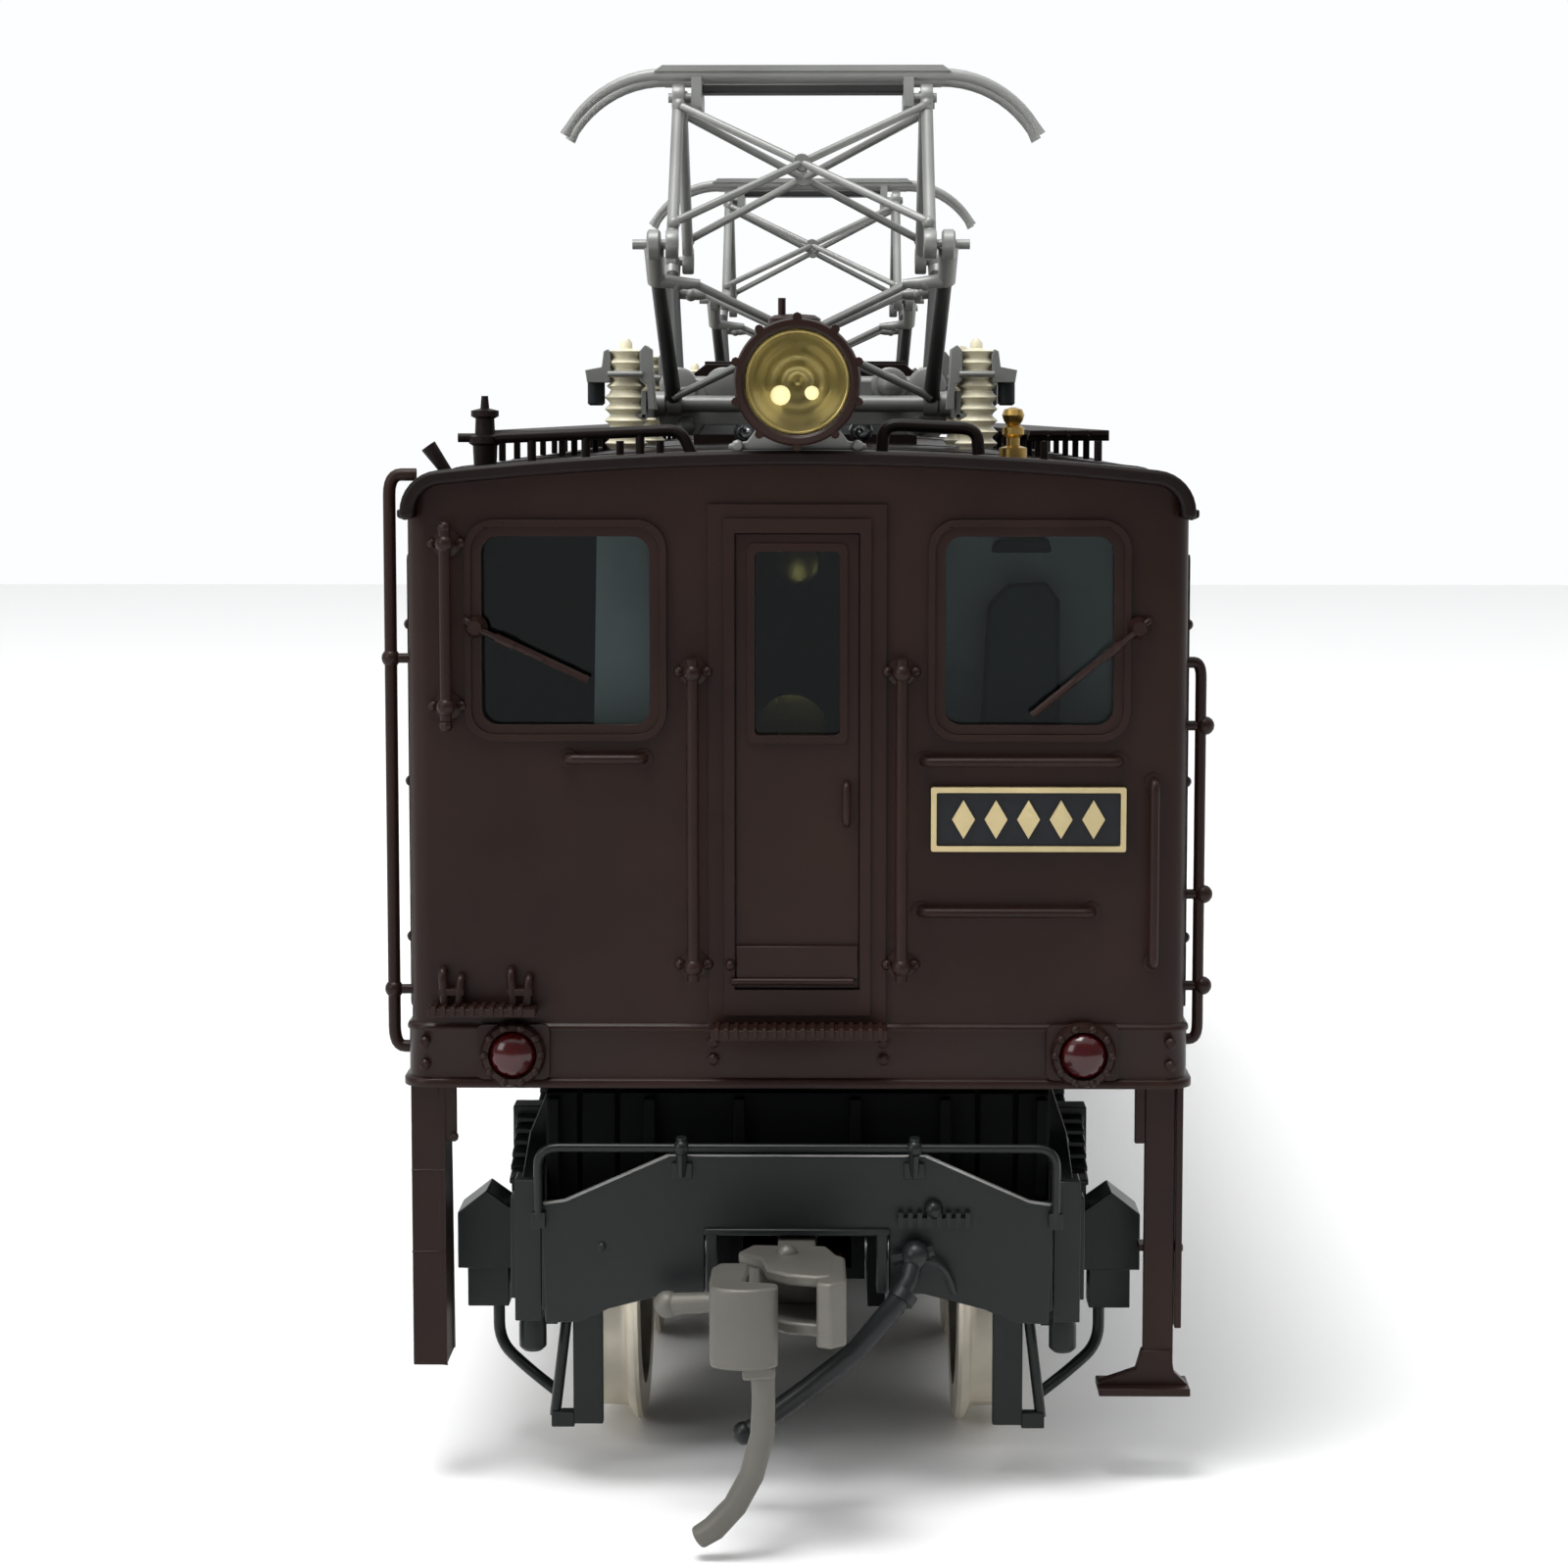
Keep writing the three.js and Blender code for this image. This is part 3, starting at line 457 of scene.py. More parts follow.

# ---- Cab windows ---------------------------------------------------------------------------
# Clear panes behind the wall, each in a raised frame with rounded corners. The cabs are dark
# inside, with a half wheel of brass behind the door's pane, and pale grey cabinets whose light
# colour paints the milky reflection seen in parts of the windows.
GLASS = bpy.data.materials.new("window_glass")
GLASS.use_nodes = True
glass_tree = GLASS.node_tree
glass_shader = glass_tree.nodes["Principled BSDF"]
glass_shader.inputs["Base Color"].default_value = (0.50, 0.60, 0.62, 1)
glass_shader.inputs["IOR"].default_value = 1.3
glass_shader.inputs["Transmission Weight"].default_value = 1.0
glass_shader.inputs["IOR"].default_value = 1.5
glass_smear = glass_tree.nodes.new("ShaderNodeTexNoise")
glass_smear.inputs["Scale"].default_value = 220
glass_range = glass_tree.nodes.new("ShaderNodeMapRange")
glass_range.inputs["To Min"].default_value = 0.0
glass_range.inputs["To Max"].default_value = 0.05
glass_place = glass_tree.nodes.new("ShaderNodeTexCoord")
glass_tree.links.new(glass_place.outputs["Object"], glass_smear.inputs["Vector"])
glass_tree.links.new(glass_smear.outputs["Fac"], glass_range.inputs["Value"])
glass_tree.links.new(glass_range.outputs["Result"], glass_shader.inputs["Roughness"])

pane_span = [(-15.2, 33.2), (15.2, 33.2), (15.2, 43.3), (-15.2, 43.3)]
at_both_ends(
    "cab_glazing", on_end(cut_sheet(pane_span, w0=SHEET + 0.05, w1=SHEET + 0.35)), GLASS, "lens_glass"
)
frames = []
for a, b in ((x0, x1), (-x1, -x0)):
    rim = rounded_rectangle(a - 0.72, b + 0.72, z0 - 0.7, z1 + 0.7, 1.3, 8)
    hole = rounded_rectangle(a + 0.02, b - 0.02, z0 + 0.02, z1 - 0.02, 0.73)
    frames.append(cut_sheet(rim, [hole], -0.16, 0.02))
    bead = rounded_rectangle(a - 0.72, b + 0.72, z0 - 0.7, z1 + 0.7, 1.3, 8)
    inner = rounded_rectangle(a - 0.42, b + 0.42, z0 - 0.4, z1 + 0.4, 1.05, 8)
    frames.append(cut_sheet(bead, [inner], -0.3, -0.15))
at_both_ends("window_frames", on_end(together(*frames)), BROWN, "body_brown", bevel=0.06)

DARK = finish("cab_interior_paint", (0.006, 0.010, 0.012), 0.6)
inside = [
    prism([(-16, 21.3), (16, 21.3), (16, 43.2), (-16, 43.2)], "Y", FACE + 11, FACE + 11.4),
    prism([(-16.2, 42.9), (16.2, 42.9), (16.2, 43.2), (-16.2, 43.2)], "Y", FACE + 1.2, FACE + 11),
]
at_both_ends("cab_partition", together(*inside), DARK, "body_brown")
# Pale grey cabinets in each cab: their light colour paints the milky reflection seen in parts of the cab
# windows.
CABINET_GREY_FOR_REFLECTION = finish("cabinet_grey_painted_reflection", (0.36, 0.335, 0.31), 0.5, mottle=0.15)
cabinets = [
    prism([(-9.3, 21.3), (-4.6, 21.3), (-4.6, 42.8), (-8.9, 42.8)], "Y", FACE + 2.6, FACE + 6.5),
    prism([(5.6, 21.3), (15.4, 21.3), (15.4, 42.8), (5.6, 42.8)], "Y", FACE + 5.4, FACE + 7.5),
]
at_both_ends("cab_cabinets", together(*cabinets), CABINET_GREY_FOR_REFLECTION, "body_brown")
seat_back = [(7.9, 30.0), (11.7, 30.0), (11.6, 39.6), (11.0, 40.4), (9.3, 40.3), (8.4, 39.4)]
seat = [
    prism(seat_back, "Y", FACE + 2.6, FACE + 3.6),
    prism([(8.6, 41.6), (11.4, 41.6), (11.2, 42.3), (8.8, 42.2)], "Y", FACE + 4.9, FACE + 5.4)
]
at_both_ends("cab_seat", together(*seat), DARK, "body_brown", bevel=0.2)


def turned(profile, axis, centre, sides=32):
    """A profile of (radius, distance along the axis) turned about it, with flat end caps."""
    r, h = np.asarray(profile, float).T
    angle = np.linspace(0, 2 * math.pi, sides, endpoint=False)
    a = (r[:, None] * np.cos(angle)).ravel()
    b = (r[:, None] * np.sin(angle)).ravel()
    c = np.repeat(h, sides)
    points = {"X": (c, a, b), "Y": (a, c, b), "Z": (a, b, c)}[axis]
    last = (len(r) - 1) * sides
    caps = [tuple(range(sides)), tuple(range(last, last + sides))]
    return np.column_stack(points) + centre, quads(len(r), sides, close_columns=True) + caps


def tube(path, radius, sides=12):
    """A ring of points carried along a path, square to its tangent, with flat end caps."""
    path = np.asarray(path, float)
    tangent = np.gradient(path, axis=0)
    tangent /= np.linalg.norm(tangent, axis=1)[:, None]
    normal = np.linalg.svd(path - path.mean(0))[2][2]
    side = np.cross(tangent, normal)
    side /= np.linalg.norm(side, axis=1)[:, None]
    up = np.cross(side, tangent)
    angle = np.linspace(0, 2 * math.pi, sides, endpoint=False)[None, :, None]
    thick = np.broadcast_to(radius, len(path))[:, None, None]
    rings = path[:, None] + thick * (np.cos(angle) * side[:, None] + np.sin(angle) * up[:, None])
    last = (len(path) - 1) * sides
    caps = [tuple(range(sides)), tuple(range(last, last + sides))]
    return rings.reshape(-1, 3), quads(len(path), sides, close_columns=True) + caps


def wire(corners, radius, bend=0.5, sides=10):
    """A wire through its corners. Each bend is a parabola that leaves its corner's two legs
    at the distance bend from the corner."""
    corners = [np.array(c, float) for c in corners]
    share = np.linspace(0, 1, 7)[:, None]
    path = [corners[0][None]]
    for before, corner, after in zip(corners, corners[1:], corners[2:]):
        come, go = before - corner, after - corner
        first = corner + come * min(0.45, bend / np.linalg.norm(come))
        last = corner + go * min(0.45, bend / np.linalg.norm(go))
        path.append((1 - share) ** 2 * first + 2 * share * (1 - share) * corner + share ** 2 * last)
    path.append(corners[-1][None])
    return tube(np.concatenate(path), radius, sides)


def ball(centre, radius, sides=14):
    """Rings of latitude from one pole to the other."""
    tilt = np.linspace(0.08, math.pi - 0.08, 9)
    return turned(np.column_stack((radius * np.sin(tilt), radius * np.cos(tilt))), "Z", centre, sides)


def block(x0, x1, y0, y1, z0, z1):
    """A box between two corners."""
    return prism([(x0, y0), (x1, y0), (x1, y1), (x0, y1)], "Z", z0, z1)


BRASS = finish("brass", (0.50, 0.33, 0.10), 0.28, metallic=1.0, relief=0.002)
controller = [turned([(1.6, FACE + 8), (1.6, FACE + 8.6), (0.5, FACE + 8.7)], "Y", (-0.35, 0, 33.4))]
controller.append(turned([(1.2, 21.3), (1.2, 31.6), (0.4, 33)], "Z", (-0.35, FACE + 8.4, 0)))
controller.append(
    turned([(1.0, FACE + 10.9), (1.0, FACE + 10.6), (0.8, FACE + 10.5)], "Y", (-0.1, 0, 40.9), 24)
)
at_both_ends("cab_controller", together(*controller), BRASS, "body_brown")

# ---- Gangway door --------------------------------------------------------------------------
# A door in the middle of each end, in a raised surround, with its own pane, a kick plate at
# its foot and a small grip. A tread plate on bolts juts out below it.
door_parts = [
    cut_sheet([(-3.9, SILL_TOP), (3.9, SILL_TOP), (3.9, 43.9), (-3.9, 43.9)],
              [[(-3.2, SILL_TOP + 0.5), (3.2, SILL_TOP + 0.5), (3.2, 43.25), (-3.2, 43.25)]], -0.2, 0.02),
    cut_sheet([(-3.22, SILL_TOP + 0.5), (3.22, SILL_TOP + 0.5), (3.22, 43.27), (-3.22, 43.27)],
              [[(-2.75, 22.6), (2.75, 22.6), (2.75, 42.66), (-2.75, 42.66)]], -0.36, 0.02),
    cut_sheet([(-2.68, 22.66), (2.68, 22.66), (2.68, 42.6), (-2.68, 42.6)],
              [rounded_rectangle(*DOOR_GLASS, 0.25)], -0.12, 0.02),
    cut_sheet(rounded_rectangle(-2.2, 2.2, 33.45, 42.2, 0.3), [rounded_rectangle(*DOOR_GLASS, 0.22)],
              -0.24, -0.1),
]
at_both_ends("gangway_door", on_end(together(*door_parts)), BROWN, "body_brown", bevel=0.05)
kick = [
    block(-2.67, 2.67, FACE - 0.42, FACE, 23.08, 24.54),
    tube([(-2.9, FACE - 0.5, 22.98), (2.5, FACE - 0.5, 22.98)], 0.16),
    ball((-2.95, FACE - 0.5, 23.7), 0.24),
]
at_both_ends("door_kick_plate", together(*kick), BROWN, "body_brown", bevel=0.05)
grip = wire(
    [(2.15, FACE, 29.95), (2.15, FACE - 0.6, 29.95), (2.15, FACE - 0.6, 31.65), (2.15, FACE, 31.65)],
    0.19, 0.3
)
at_both_ends("door_grip", grip, BROWN, "body_brown")


def tread(x0, x1, y0, y1, z0, z1, pitch=0.42):
    """A thin plate whose top and front carry rows of little upright ribs."""
    ribs = [
        block(x, x + pitch * 0.5, y0 - 0.08, y1, z0 + 0.08, z1 + 0.1)
        for x in np.arange(x0 + 0.15, x1 - pitch, pitch)
    ]
    return together(block(x0, x1, y0, y1, z0, z1), *ribs)


def bolt_heads(places, axis="Y", radius=0.26, proud=0.22):
    """A six-sided head with a rounded crown at each place, standing out towards the front."""
    return together(*[
        turned([(radius, 0.1), (radius, -proud * 0.6), (radius * 0.6, -proud)], axis, place, 8)
        for place in places
    ])


at_both_ends(
    "door_step", tread(-3.76, 3.95, FACE - 2.0, FACE - 0.1, 20.6, 21.05), BROWN, "body_brown", bevel=0.03
)
bolts = [(x, FACE - 0.15, z) for x in (-3.7, 3.8) for z in (20.2, 19.45)]
bolts += [(x, FACE - 0.15, z) for x in (-16.45, 16.45) for z in (20.2, 19.2)]
at_both_ends("sill_bolts", bolt_heads(bolts), BROWN, "body_brown")
low_step = [tread(-16.14, -11.44, FACE - 1.6, FACE - 0.1, 21.55, 21.9)]
for x in (-15.2, -12.2):
    low_step.append(
        wire([(x - 0.4, FACE, 23.4), (x - 0.4, FACE - 0.6, 23.4), (x - 0.3, FACE - 0.6, 21.9)], 0.2)
    )
    low_step.append(
        wire([(x + 0.4, FACE, 23.1), (x + 0.4, FACE - 0.6, 23.1), (x + 0.3, FACE - 0.6, 21.9)], 0.2)
    )
    low_step.append(block(x - 0.55, x + 0.55, FACE - 0.75, FACE - 0.1, 22.35, 22.65))
at_both_ends("shunting_step", together(*low_step), BROWN, "body_brown", bevel=0.03)

# ---- Handrails on the ends -----------------------------------------------------------------
# Drawn wire, held clear of the wall by turned stanchions with a ball and a flanged foot. The
# feet are pushed into drilled holes and the whole rail is sprayed with the body.
RAIL_OUT = 1.2


def stanchion(x, z, out=RAIL_OUT, size=0.42):
    """A flanged foot on the wall, a short neck and a ball round the wire."""
    foot = [(size * 1.5, 0.05), (size * 1.5, -0.12), (size * 0.6, -0.22), (size * 0.5, -out + 0.2)]
    return together(turned(foot, "Y", (x, FACE, z), 14), ball((x, FACE - out, z), size))


rails = []
for x in (-4.55, 4.55):
    rails += [tube([(x, FACE - RAIL_OUT, 23.1), (x, FACE - RAIL_OUT, 37.2)], 0.27)]
    for z in (23.7, 36.6):
        rails += [
            stanchion(x, z), ball((x + 0.62, FACE - 0.25, z), 0.24, 8),
            ball((x - 0.62, FACE - 0.25, z), 0.24, 8)
        ]
rails.append(tube([(-15.3, FACE - 0.9, 34.5), (-15.3, FACE - 0.9, 42.8)], 0.26))
for z, nut in ((35.1, 34.3), (42.2, 42.9)):
    rails += [stanchion(-15.3, z, 0.9), ball((-15.3, FACE - 0.9, nut), 0.3, 8)]
    rails += [ball((-15.3 + d, FACE - 0.22, z), 0.24, 8) for d in (-0.62, 0.62)]
at_both_ends("end_handrails", together(*rails), BROWN, "body_brown")


def grab(x0, z0, x1, z1, out=0.65, radius=0.22):
    """A wire bent like a staple, with a small round flange where each leg meets the wall."""
    feet = [turned([(0.42, 0.05), (0.42, -0.12)], "Y", (x, FACE, z), 12) for x, z in ((x0, z0), (x1, z1))]
    legs = [(x0, FACE, z0), (x0, FACE - out, z0), (x1, FACE - out, z1), (x1, FACE, z1)]
    return together(wire(legs, radius, 0.4), *feet)


grabs = [
    grab(-10.05, 32.79, -6.75, 32.79), grab(5.55, 32.68, 14.05, 32.68),
    grab(5.45, 26.06, 12.9, 26.06), grab(15.6, 23.75, 15.6, 31.75),
]
at_both_ends("grab_irons", together(*grabs), BROWN, "body_brown")

# ---- Wipers, number plate and tail lamps ---------------------------------------------------
# The wipers are thin wire arms with a flat blade. The number plate has a gilt rim on a dark
# field and plain raised lozenges. Each tail lamp is a red jewel in a notched bezel.
for_wipers = []
for (px, pz), (tx, tz) in (((-14.03, 38.54), (-9.14, 36.26)), ((14.87, 38.52), (10.24, 34.72))):
    at = lambda share, out: (px + (tx - px) * share, FACE - out, pz + (tz - pz) * share)
    for_wipers += [
        turned([(0.5, 0.05), (0.5, -0.35), (0.3, -0.75), (0.3, -0.85)], "Y", (px, FACE, pz), 14),
        tube([at(0, 0.65), at(0.6, 0.6)], 0.13, 8),
        tube([at(0.25, 0.42), at(1, 0.38)], 0.17, 8),
        tube([at(0.18, 0.7), at(0.34, 0.7)], 0.2, 8),
    ]
    across = 0.45 if px > 0 else -0.45
    for_wipers.append(
        wire(
            [(px + across, FACE, pz + 0.35), (px + across, FACE - 0.5, pz + 0.35), (px, FACE - 0.6, pz)],
            0.15, 0.2
        )
    )
at_both_ends("wipers", together(*for_wipers), BROWN, "body_brown")

GILT = finish("gilt", (0.62, 0.51, 0.28), 0.36, metallic=0.8, relief=0.004)
FIELD = finish("plate_field", (0.006, 0.007, 0.010), 0.4)
PLATE = (5.85, 14.38, 28.74, 31.57)
px0, px1, pz0, pz1 = PLATE
plate_holes = [rounded_rectangle(px0 + 0.24, px1 - 0.24, pz0 + 0.24, pz1 - 0.24, 0.08)]
gilt_parts = [cut_sheet(rounded_rectangle(*PLATE, 0.1), plate_holes, -0.5, -0.05)]
for k in range(5):
    mid = px0 + (px1 - px0) * (k + 1) / 6
    up = (pz0 + pz1) / 2
    gilt_parts.append(
        cut_sheet([(mid - 0.5, up), (mid, up - 0.85), (mid + 0.5, up), (mid, up + 0.85)], (), -0.46, -0.2)
    )
at_both_ends("number_plate_rim", on_end(together(*gilt_parts)), GILT, "body_brown", bevel=0.05)
field = cut_sheet(
    [
        (px0 + 0.05, pz0 + 0.05), (px1 - 0.05, pz0 + 0.05), (px1 - 0.05, pz1 - 0.05),
        (px0 + 0.05, pz1 - 0.05)
    ],
    (), -0.3, 0
)
at_both_ends("number_plate_field", on_end(field), FIELD, "body_brown")

RED = finish("red_jewel", (0.040, 0.0015, 0.0025), 0.10, coat=0.35, mottle=0.5, relief=0.0)
LAMP_Z = 19.74
lamp_plates, bezels, jewels = [], [], []
for x in (-12.52, 12.58):
    lamp_plates.append(
        cut_sheet(rounded_rectangle(x - 1.6, x + 1.6, LAMP_Z - 1.15, LAMP_Z + 1.3, 0.3), (), -0.42, 0.02)
    )
    ring = [(1.45, -0.3), (1.45, -0.6), (1.32, -0.85), (1.08, -0.9), (1.02, -0.6)]
    bezels.append(turned(ring, "Y", (x, FACE, LAMP_Z), 28))
    notches = np.arange(10) * math.pi / 5
    bezels += [
        ball((x + 1.24 * math.cos(a), FACE - 0.82, LAMP_Z + 1.24 * math.sin(a)), 0.2, 8) for a in notches
    ]
    rise = np.linspace(0, math.pi / 2 - 0.05, 8)
    dome = np.column_stack((1.04 * np.cos(rise), -0.55 - 0.7 * np.sin(rise)))
    jewels.append(turned(dome, "Y", (x, FACE, LAMP_Z), 28))
at_both_ends("tail_lamp_plates", on_end(together(*lamp_plates)), BROWN, "body_brown", bevel=0.08)
at_both_ends("tail_lamp_bezels", together(*bezels), BROWN, "body_brown")
at_both_ends("tail_lamp_jewels", together(*jewels), RED, "body_brown")

# ---- Side handrails ------------------------------------------------------------------------
# Long wires beside the cab doors. The left one hooks over the roof's edge at its top end. Both
# stand on short pins soldered into the side, under the same brown paint.
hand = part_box("front_handrail_left")
HAND_X, HAND_Y = 18.0, (hand[0][1] + hand[1][1]) / 2 / MM


def side_stanchion(side, z):
    """A neck from the side wall to a ball round the wire."""
    neck = tube([(side * (HALF_WIDTH - 0.1), HAND_Y, z), (side * 18.2, HAND_Y, z)], 0.22)
    return together(neck, ball((side * HAND_X, HAND_Y, z), 0.42))


long_rail = [
    wire(
        [
            (-16.8, HAND_Y, 45.15), (-HAND_X, HAND_Y, 45.15), (-HAND_X, HAND_Y, 19.7),
            (-17.0, HAND_Y, 19.7)
        ],
        0.28, 0.9
    ),
    *[side_stanchion(-1, z) for z in (22.28, 37.06)],
]
short_rail = [
    wire(
        [
            (HAND_X - 0.9, HAND_Y, 36.9), (HAND_X - 0.2, HAND_Y, 36.9), (HAND_X - 0.2, HAND_Y, 20.1),
            (17.0, HAND_Y, 20.1)
        ],
        0.25, 0.7
    ),
    *[side_stanchion(1, z) for z in (22.5, 26.6, 34.1)],
]
at_both_ends(
    "side_handrail_left", together(*long_rail), BROWN, "body_brown", stands_for=["handrail_left"]
)
at_both_ends(
    "side_handrail_right", together(*short_rail), BROWN, "body_brown", stands_for=["handrail_right"]
)

# ---- Headlight -----------------------------------------------------------------------------
# A turned drum on a silvered saddle, with clamps round its rim and a vent cap on top. Inside
# the clear lens a gilt dish surrounds two small glowing bulbs; their glow paints the bright
# highlights low in the dish.
LIGHT_LOW, LIGHT_HIGH = (np.array(corner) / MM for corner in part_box("front_headlight"))
LIGHT_FRONT, LIGHT_BACK, LIGHT_Z = LIGHT_LOW[1], LIGHT_HIGH[1], 49.18
SILVER = finish(
    "silver_paint", (0.26, 0.264, 0.254), 0.42, metallic=0.4, relief=0.0012, grain=0.5, mottle=0.18
)
drum = [
    (2.28, LIGHT_FRONT + 0.5), (2.3, LIGHT_FRONT + 0.1), (2.42, LIGHT_FRONT), (2.66, LIGHT_FRONT + 0.03),
    (2.75, LIGHT_FRONT + 0.2), (2.75, LIGHT_FRONT + 0.75), (2.6, LIGHT_FRONT + 0.85),
    (2.55, LIGHT_BACK - 2.0), (2.3, LIGHT_BACK - 0.9), (1.3, LIGHT_BACK - 0.1), (0.3, LIGHT_BACK),
    (0.3, LIGHT_BACK - 0.5), (1.2, LIGHT_BACK - 0.6), (2.1, LIGHT_BACK - 1.5), (2.28, LIGHT_BACK - 2.4),
]
ring = np.asarray(drum)
spin = np.linspace(0, 2 * math.pi, 64, endpoint=False)
shell_points = np.column_stack((
    (ring[:, :1] * np.cos(spin)).ravel(), np.repeat(ring[:, 1], 64),
    LIGHT_Z + (ring[:, :1] * np.sin(spin)).ravel(),
))
shell = (shell_points, quads(len(ring), 64, close_rows=True, close_columns=True))
lugs = []
for k in range(10):
    a = (k + 0.5) * math.pi / 5
    x, z = 2.78 * math.cos(a), LIGHT_Z + 2.78 * math.sin(a)
    lugs.append(tube([(x, LIGHT_FRONT + 0.05, z), (x, LIGHT_FRONT + 0.95, z)], 0.2, 8))
cap = turned(
    [(1.15, 51.7), (1.15, 51.95), (0.9, 52.1), (0.3, 52.15)], "Z", (-0.15, LIGHT_FRONT + 3.2, 0), 20
)
knob = tube([(-0.7, LIGHT_FRONT + 3.2, 52.0), (-0.7, LIGHT_FRONT + 3.2, 52.85)], 0.17, 8)
at_both_ends(
    "headlight_drum", together(shell, cap, knob, *lugs), BROWN, "body_brown", stands_for=["headlight"]
)
saddle = [
    prism(
        [
            (-3.0, 46.25), (3.0, 46.25), (3.0, 46.5), (2.2, 46.62), (1.7, 47.3), (-1.7, 47.3),
            (-2.2, 46.62), (-3.0, 46.5)
        ],
          "Y", LIGHT_FRONT + 1.6, LIGHT_FRONT + 4.4),
    bolt_heads([(x, LIGHT_FRONT + 1.62, 46.4) for x in (-2.6, 2.6)], radius=0.3),
]
at_both_ends("headlight_saddle", together(*saddle), SILVER, "body_brown", bevel=0.06)
DISH = finish("gilt_dish", (0.36, 0.31, 0.165), 0.3, metallic=0.7, relief=0.002, grain=0.5, mottle=0.12)
reach = np.linspace(0.02, 2.25, 20)
dish = np.column_stack((reach, LIGHT_FRONT + 2.7 - 0.42 * reach ** 2 + 0.05 * np.sin(reach * 12)))
back = dish[::-1] + (0, 0.15)
bowl, bowl_faces = turned(np.concatenate((back, dish)), "Y", (0, 0, LIGHT_Z), 48)
at_both_ends("headlight_dish", (bowl, bowl_faces[:-2]), DISH, "lens_glass")
rim_turn = np.linspace(0, 2 * math.pi, 49)
rim_path = np.column_stack(
    (2.2 * np.cos(rim_turn), np.full(49, LIGHT_FRONT + 0.85), LIGHT_Z + 2.2 * np.sin(rim_turn))
)
at_both_ends("headlight_ring", tube(rim_path, 0.1, 8), GILT, "lens_glass")
# The two bulbs glow, and their glow paints the bright highlights low in the reflector.
BULB_GLOW_PAINTED_HIGHLIGHT = bpy.data.materials.new("bulb_glow_painted_highlight")
BULB_GLOW_PAINTED_HIGHLIGHT.use_nodes = True
bulb_shader = BULB_GLOW_PAINTED_HIGHLIGHT.node_tree.nodes["Principled BSDF"]
bulb_shader.inputs["Base Color"].default_value = (1.0, 0.92, 0.6, 1)
bulb_shader.inputs["Emission Color"].default_value = (1.0, 0.92, 0.62, 1)
bulb_shader.inputs["Emission Strength"].default_value = 0.8
bulbs = [
    ball((x, LIGHT_FRONT + 1.9, LIGHT_Z + z), r, 16) for x, z,
    r in ((-0.72, -0.55, 0.42), (0.6, -0.45, 0.3))
]
at_both_ends("headlight_bulbs", together(*bulbs), BULB_GLOW_PAINTED_HIGHLIGHT, "lens_glass")
LENS = bpy.data.materials.new("lens_glass")
LENS.use_nodes = True
lens_shader = LENS.node_tree.nodes["Principled BSDF"]
lens_shader.inputs["Base Color"].default_value = (0.98, 0.96, 0.80, 1)
lens_shader.inputs["Transmission Weight"].default_value = 1.0
lens_shader.inputs["IOR"].default_value = 1.2
lens_shader.inputs["Roughness"].default_value = 0.03
rise = np.linspace(0, 2.24, 10)
lens_front = np.column_stack((rise, LIGHT_FRONT + 0.12 + 0.05 * rise ** 2))
lens_back = np.column_stack((rise[::-1], np.full(10, LIGHT_FRONT + 0.55)))
lens_front[0, 0] = lens_back[-1, 0] = 0.02
lens = turned(np.concatenate((lens_front, lens_back)), "Y", (0, 0, LIGHT_Z), 48)
at_both_ends("headlight_glass", lens, LENS, "lens_glass", stands_for=["headlight_lens"])

# ---- Roof fittings -------------------------------------------------------------------------
# Boarded walkways along both edges, a long box for the electrical gear in the middle, and at
# each end a brass whistle, a vent pipe and two cable conduits.
WALK_LOW, WALK_HIGH = (np.array(corner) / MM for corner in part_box("walkway_right"))
for name, side in (("left", -1), ("right", 1)):
    walk = []
    edges = np.linspace(WALK_LOW[0], WALK_HIGH[0], 5)
    for a, b in zip(edges, edges[1:]):
        walk.append(
            block(side * (a + 0.06), side * (b - 0.06), WALK_LOW[1], WALK_HIGH[1], 46.8, WALK_HIGH[2])
        )
    for y in np.linspace(WALK_LOW[1] + 1, WALK_HIGH[1] - 1, 16):
        walk.append(block(side * WALK_LOW[0], side * WALK_HIGH[0], y - 0.2, y + 0.2, 46.55, 46.82))
        walk += [
            block(side * (x - 0.15), side * (x + 0.15), y - 0.2, y + 0.2, 45.6, 46.6)
            for x in (11.1, 13.9)
        ]
    made = piece(f"walkway_boards_{name}", together(*walk), ROOF_BROWN, "body_brown", "body", bevel=0.04)
    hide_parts(f"walkway_{name}")

BOX_L, BOX_H = (np.array(corner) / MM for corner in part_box("roof_monitor"))
width, top = BOX_H[0], BOX_H[2]
case = [prism([
    (-width + 0.1, 46.0), (width - 0.1, 46.0), (width - 0.1, top - 0.7), (width - 0.8, top - 0.15),
               (-width + 0.8, top - 0.15), (-width + 0.1, top - 0.7)], "Y", BOX_L[1], BOX_H[1])]
case.append(prism(
    [(-width + 0.7, top - 0.2), (width - 0.7, top - 0.2), (width - 0.7, top), (-width + 0.7, top)],
                  "Y", BOX_L[1] + 0.8, BOX_H[1] - 0.8))
for side in (-1, 1):
    for y in np.arange(BOX_L[1] + 3, BOX_H[1] - 5, 9):
        for z in np.linspace(47.2, 49.4, 6):
            louvre = [(side * (width - 0.15), z), (side * width, z), (side * (width - 0.15), z + 0.3)]
            case.append(prism(louvre, "Y", y, y + 5.5))
made = piece("roof_box", together(*case), ROOF_BROWN, "body_brown", "body", bevel=0.06)
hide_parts("roof_monitor")

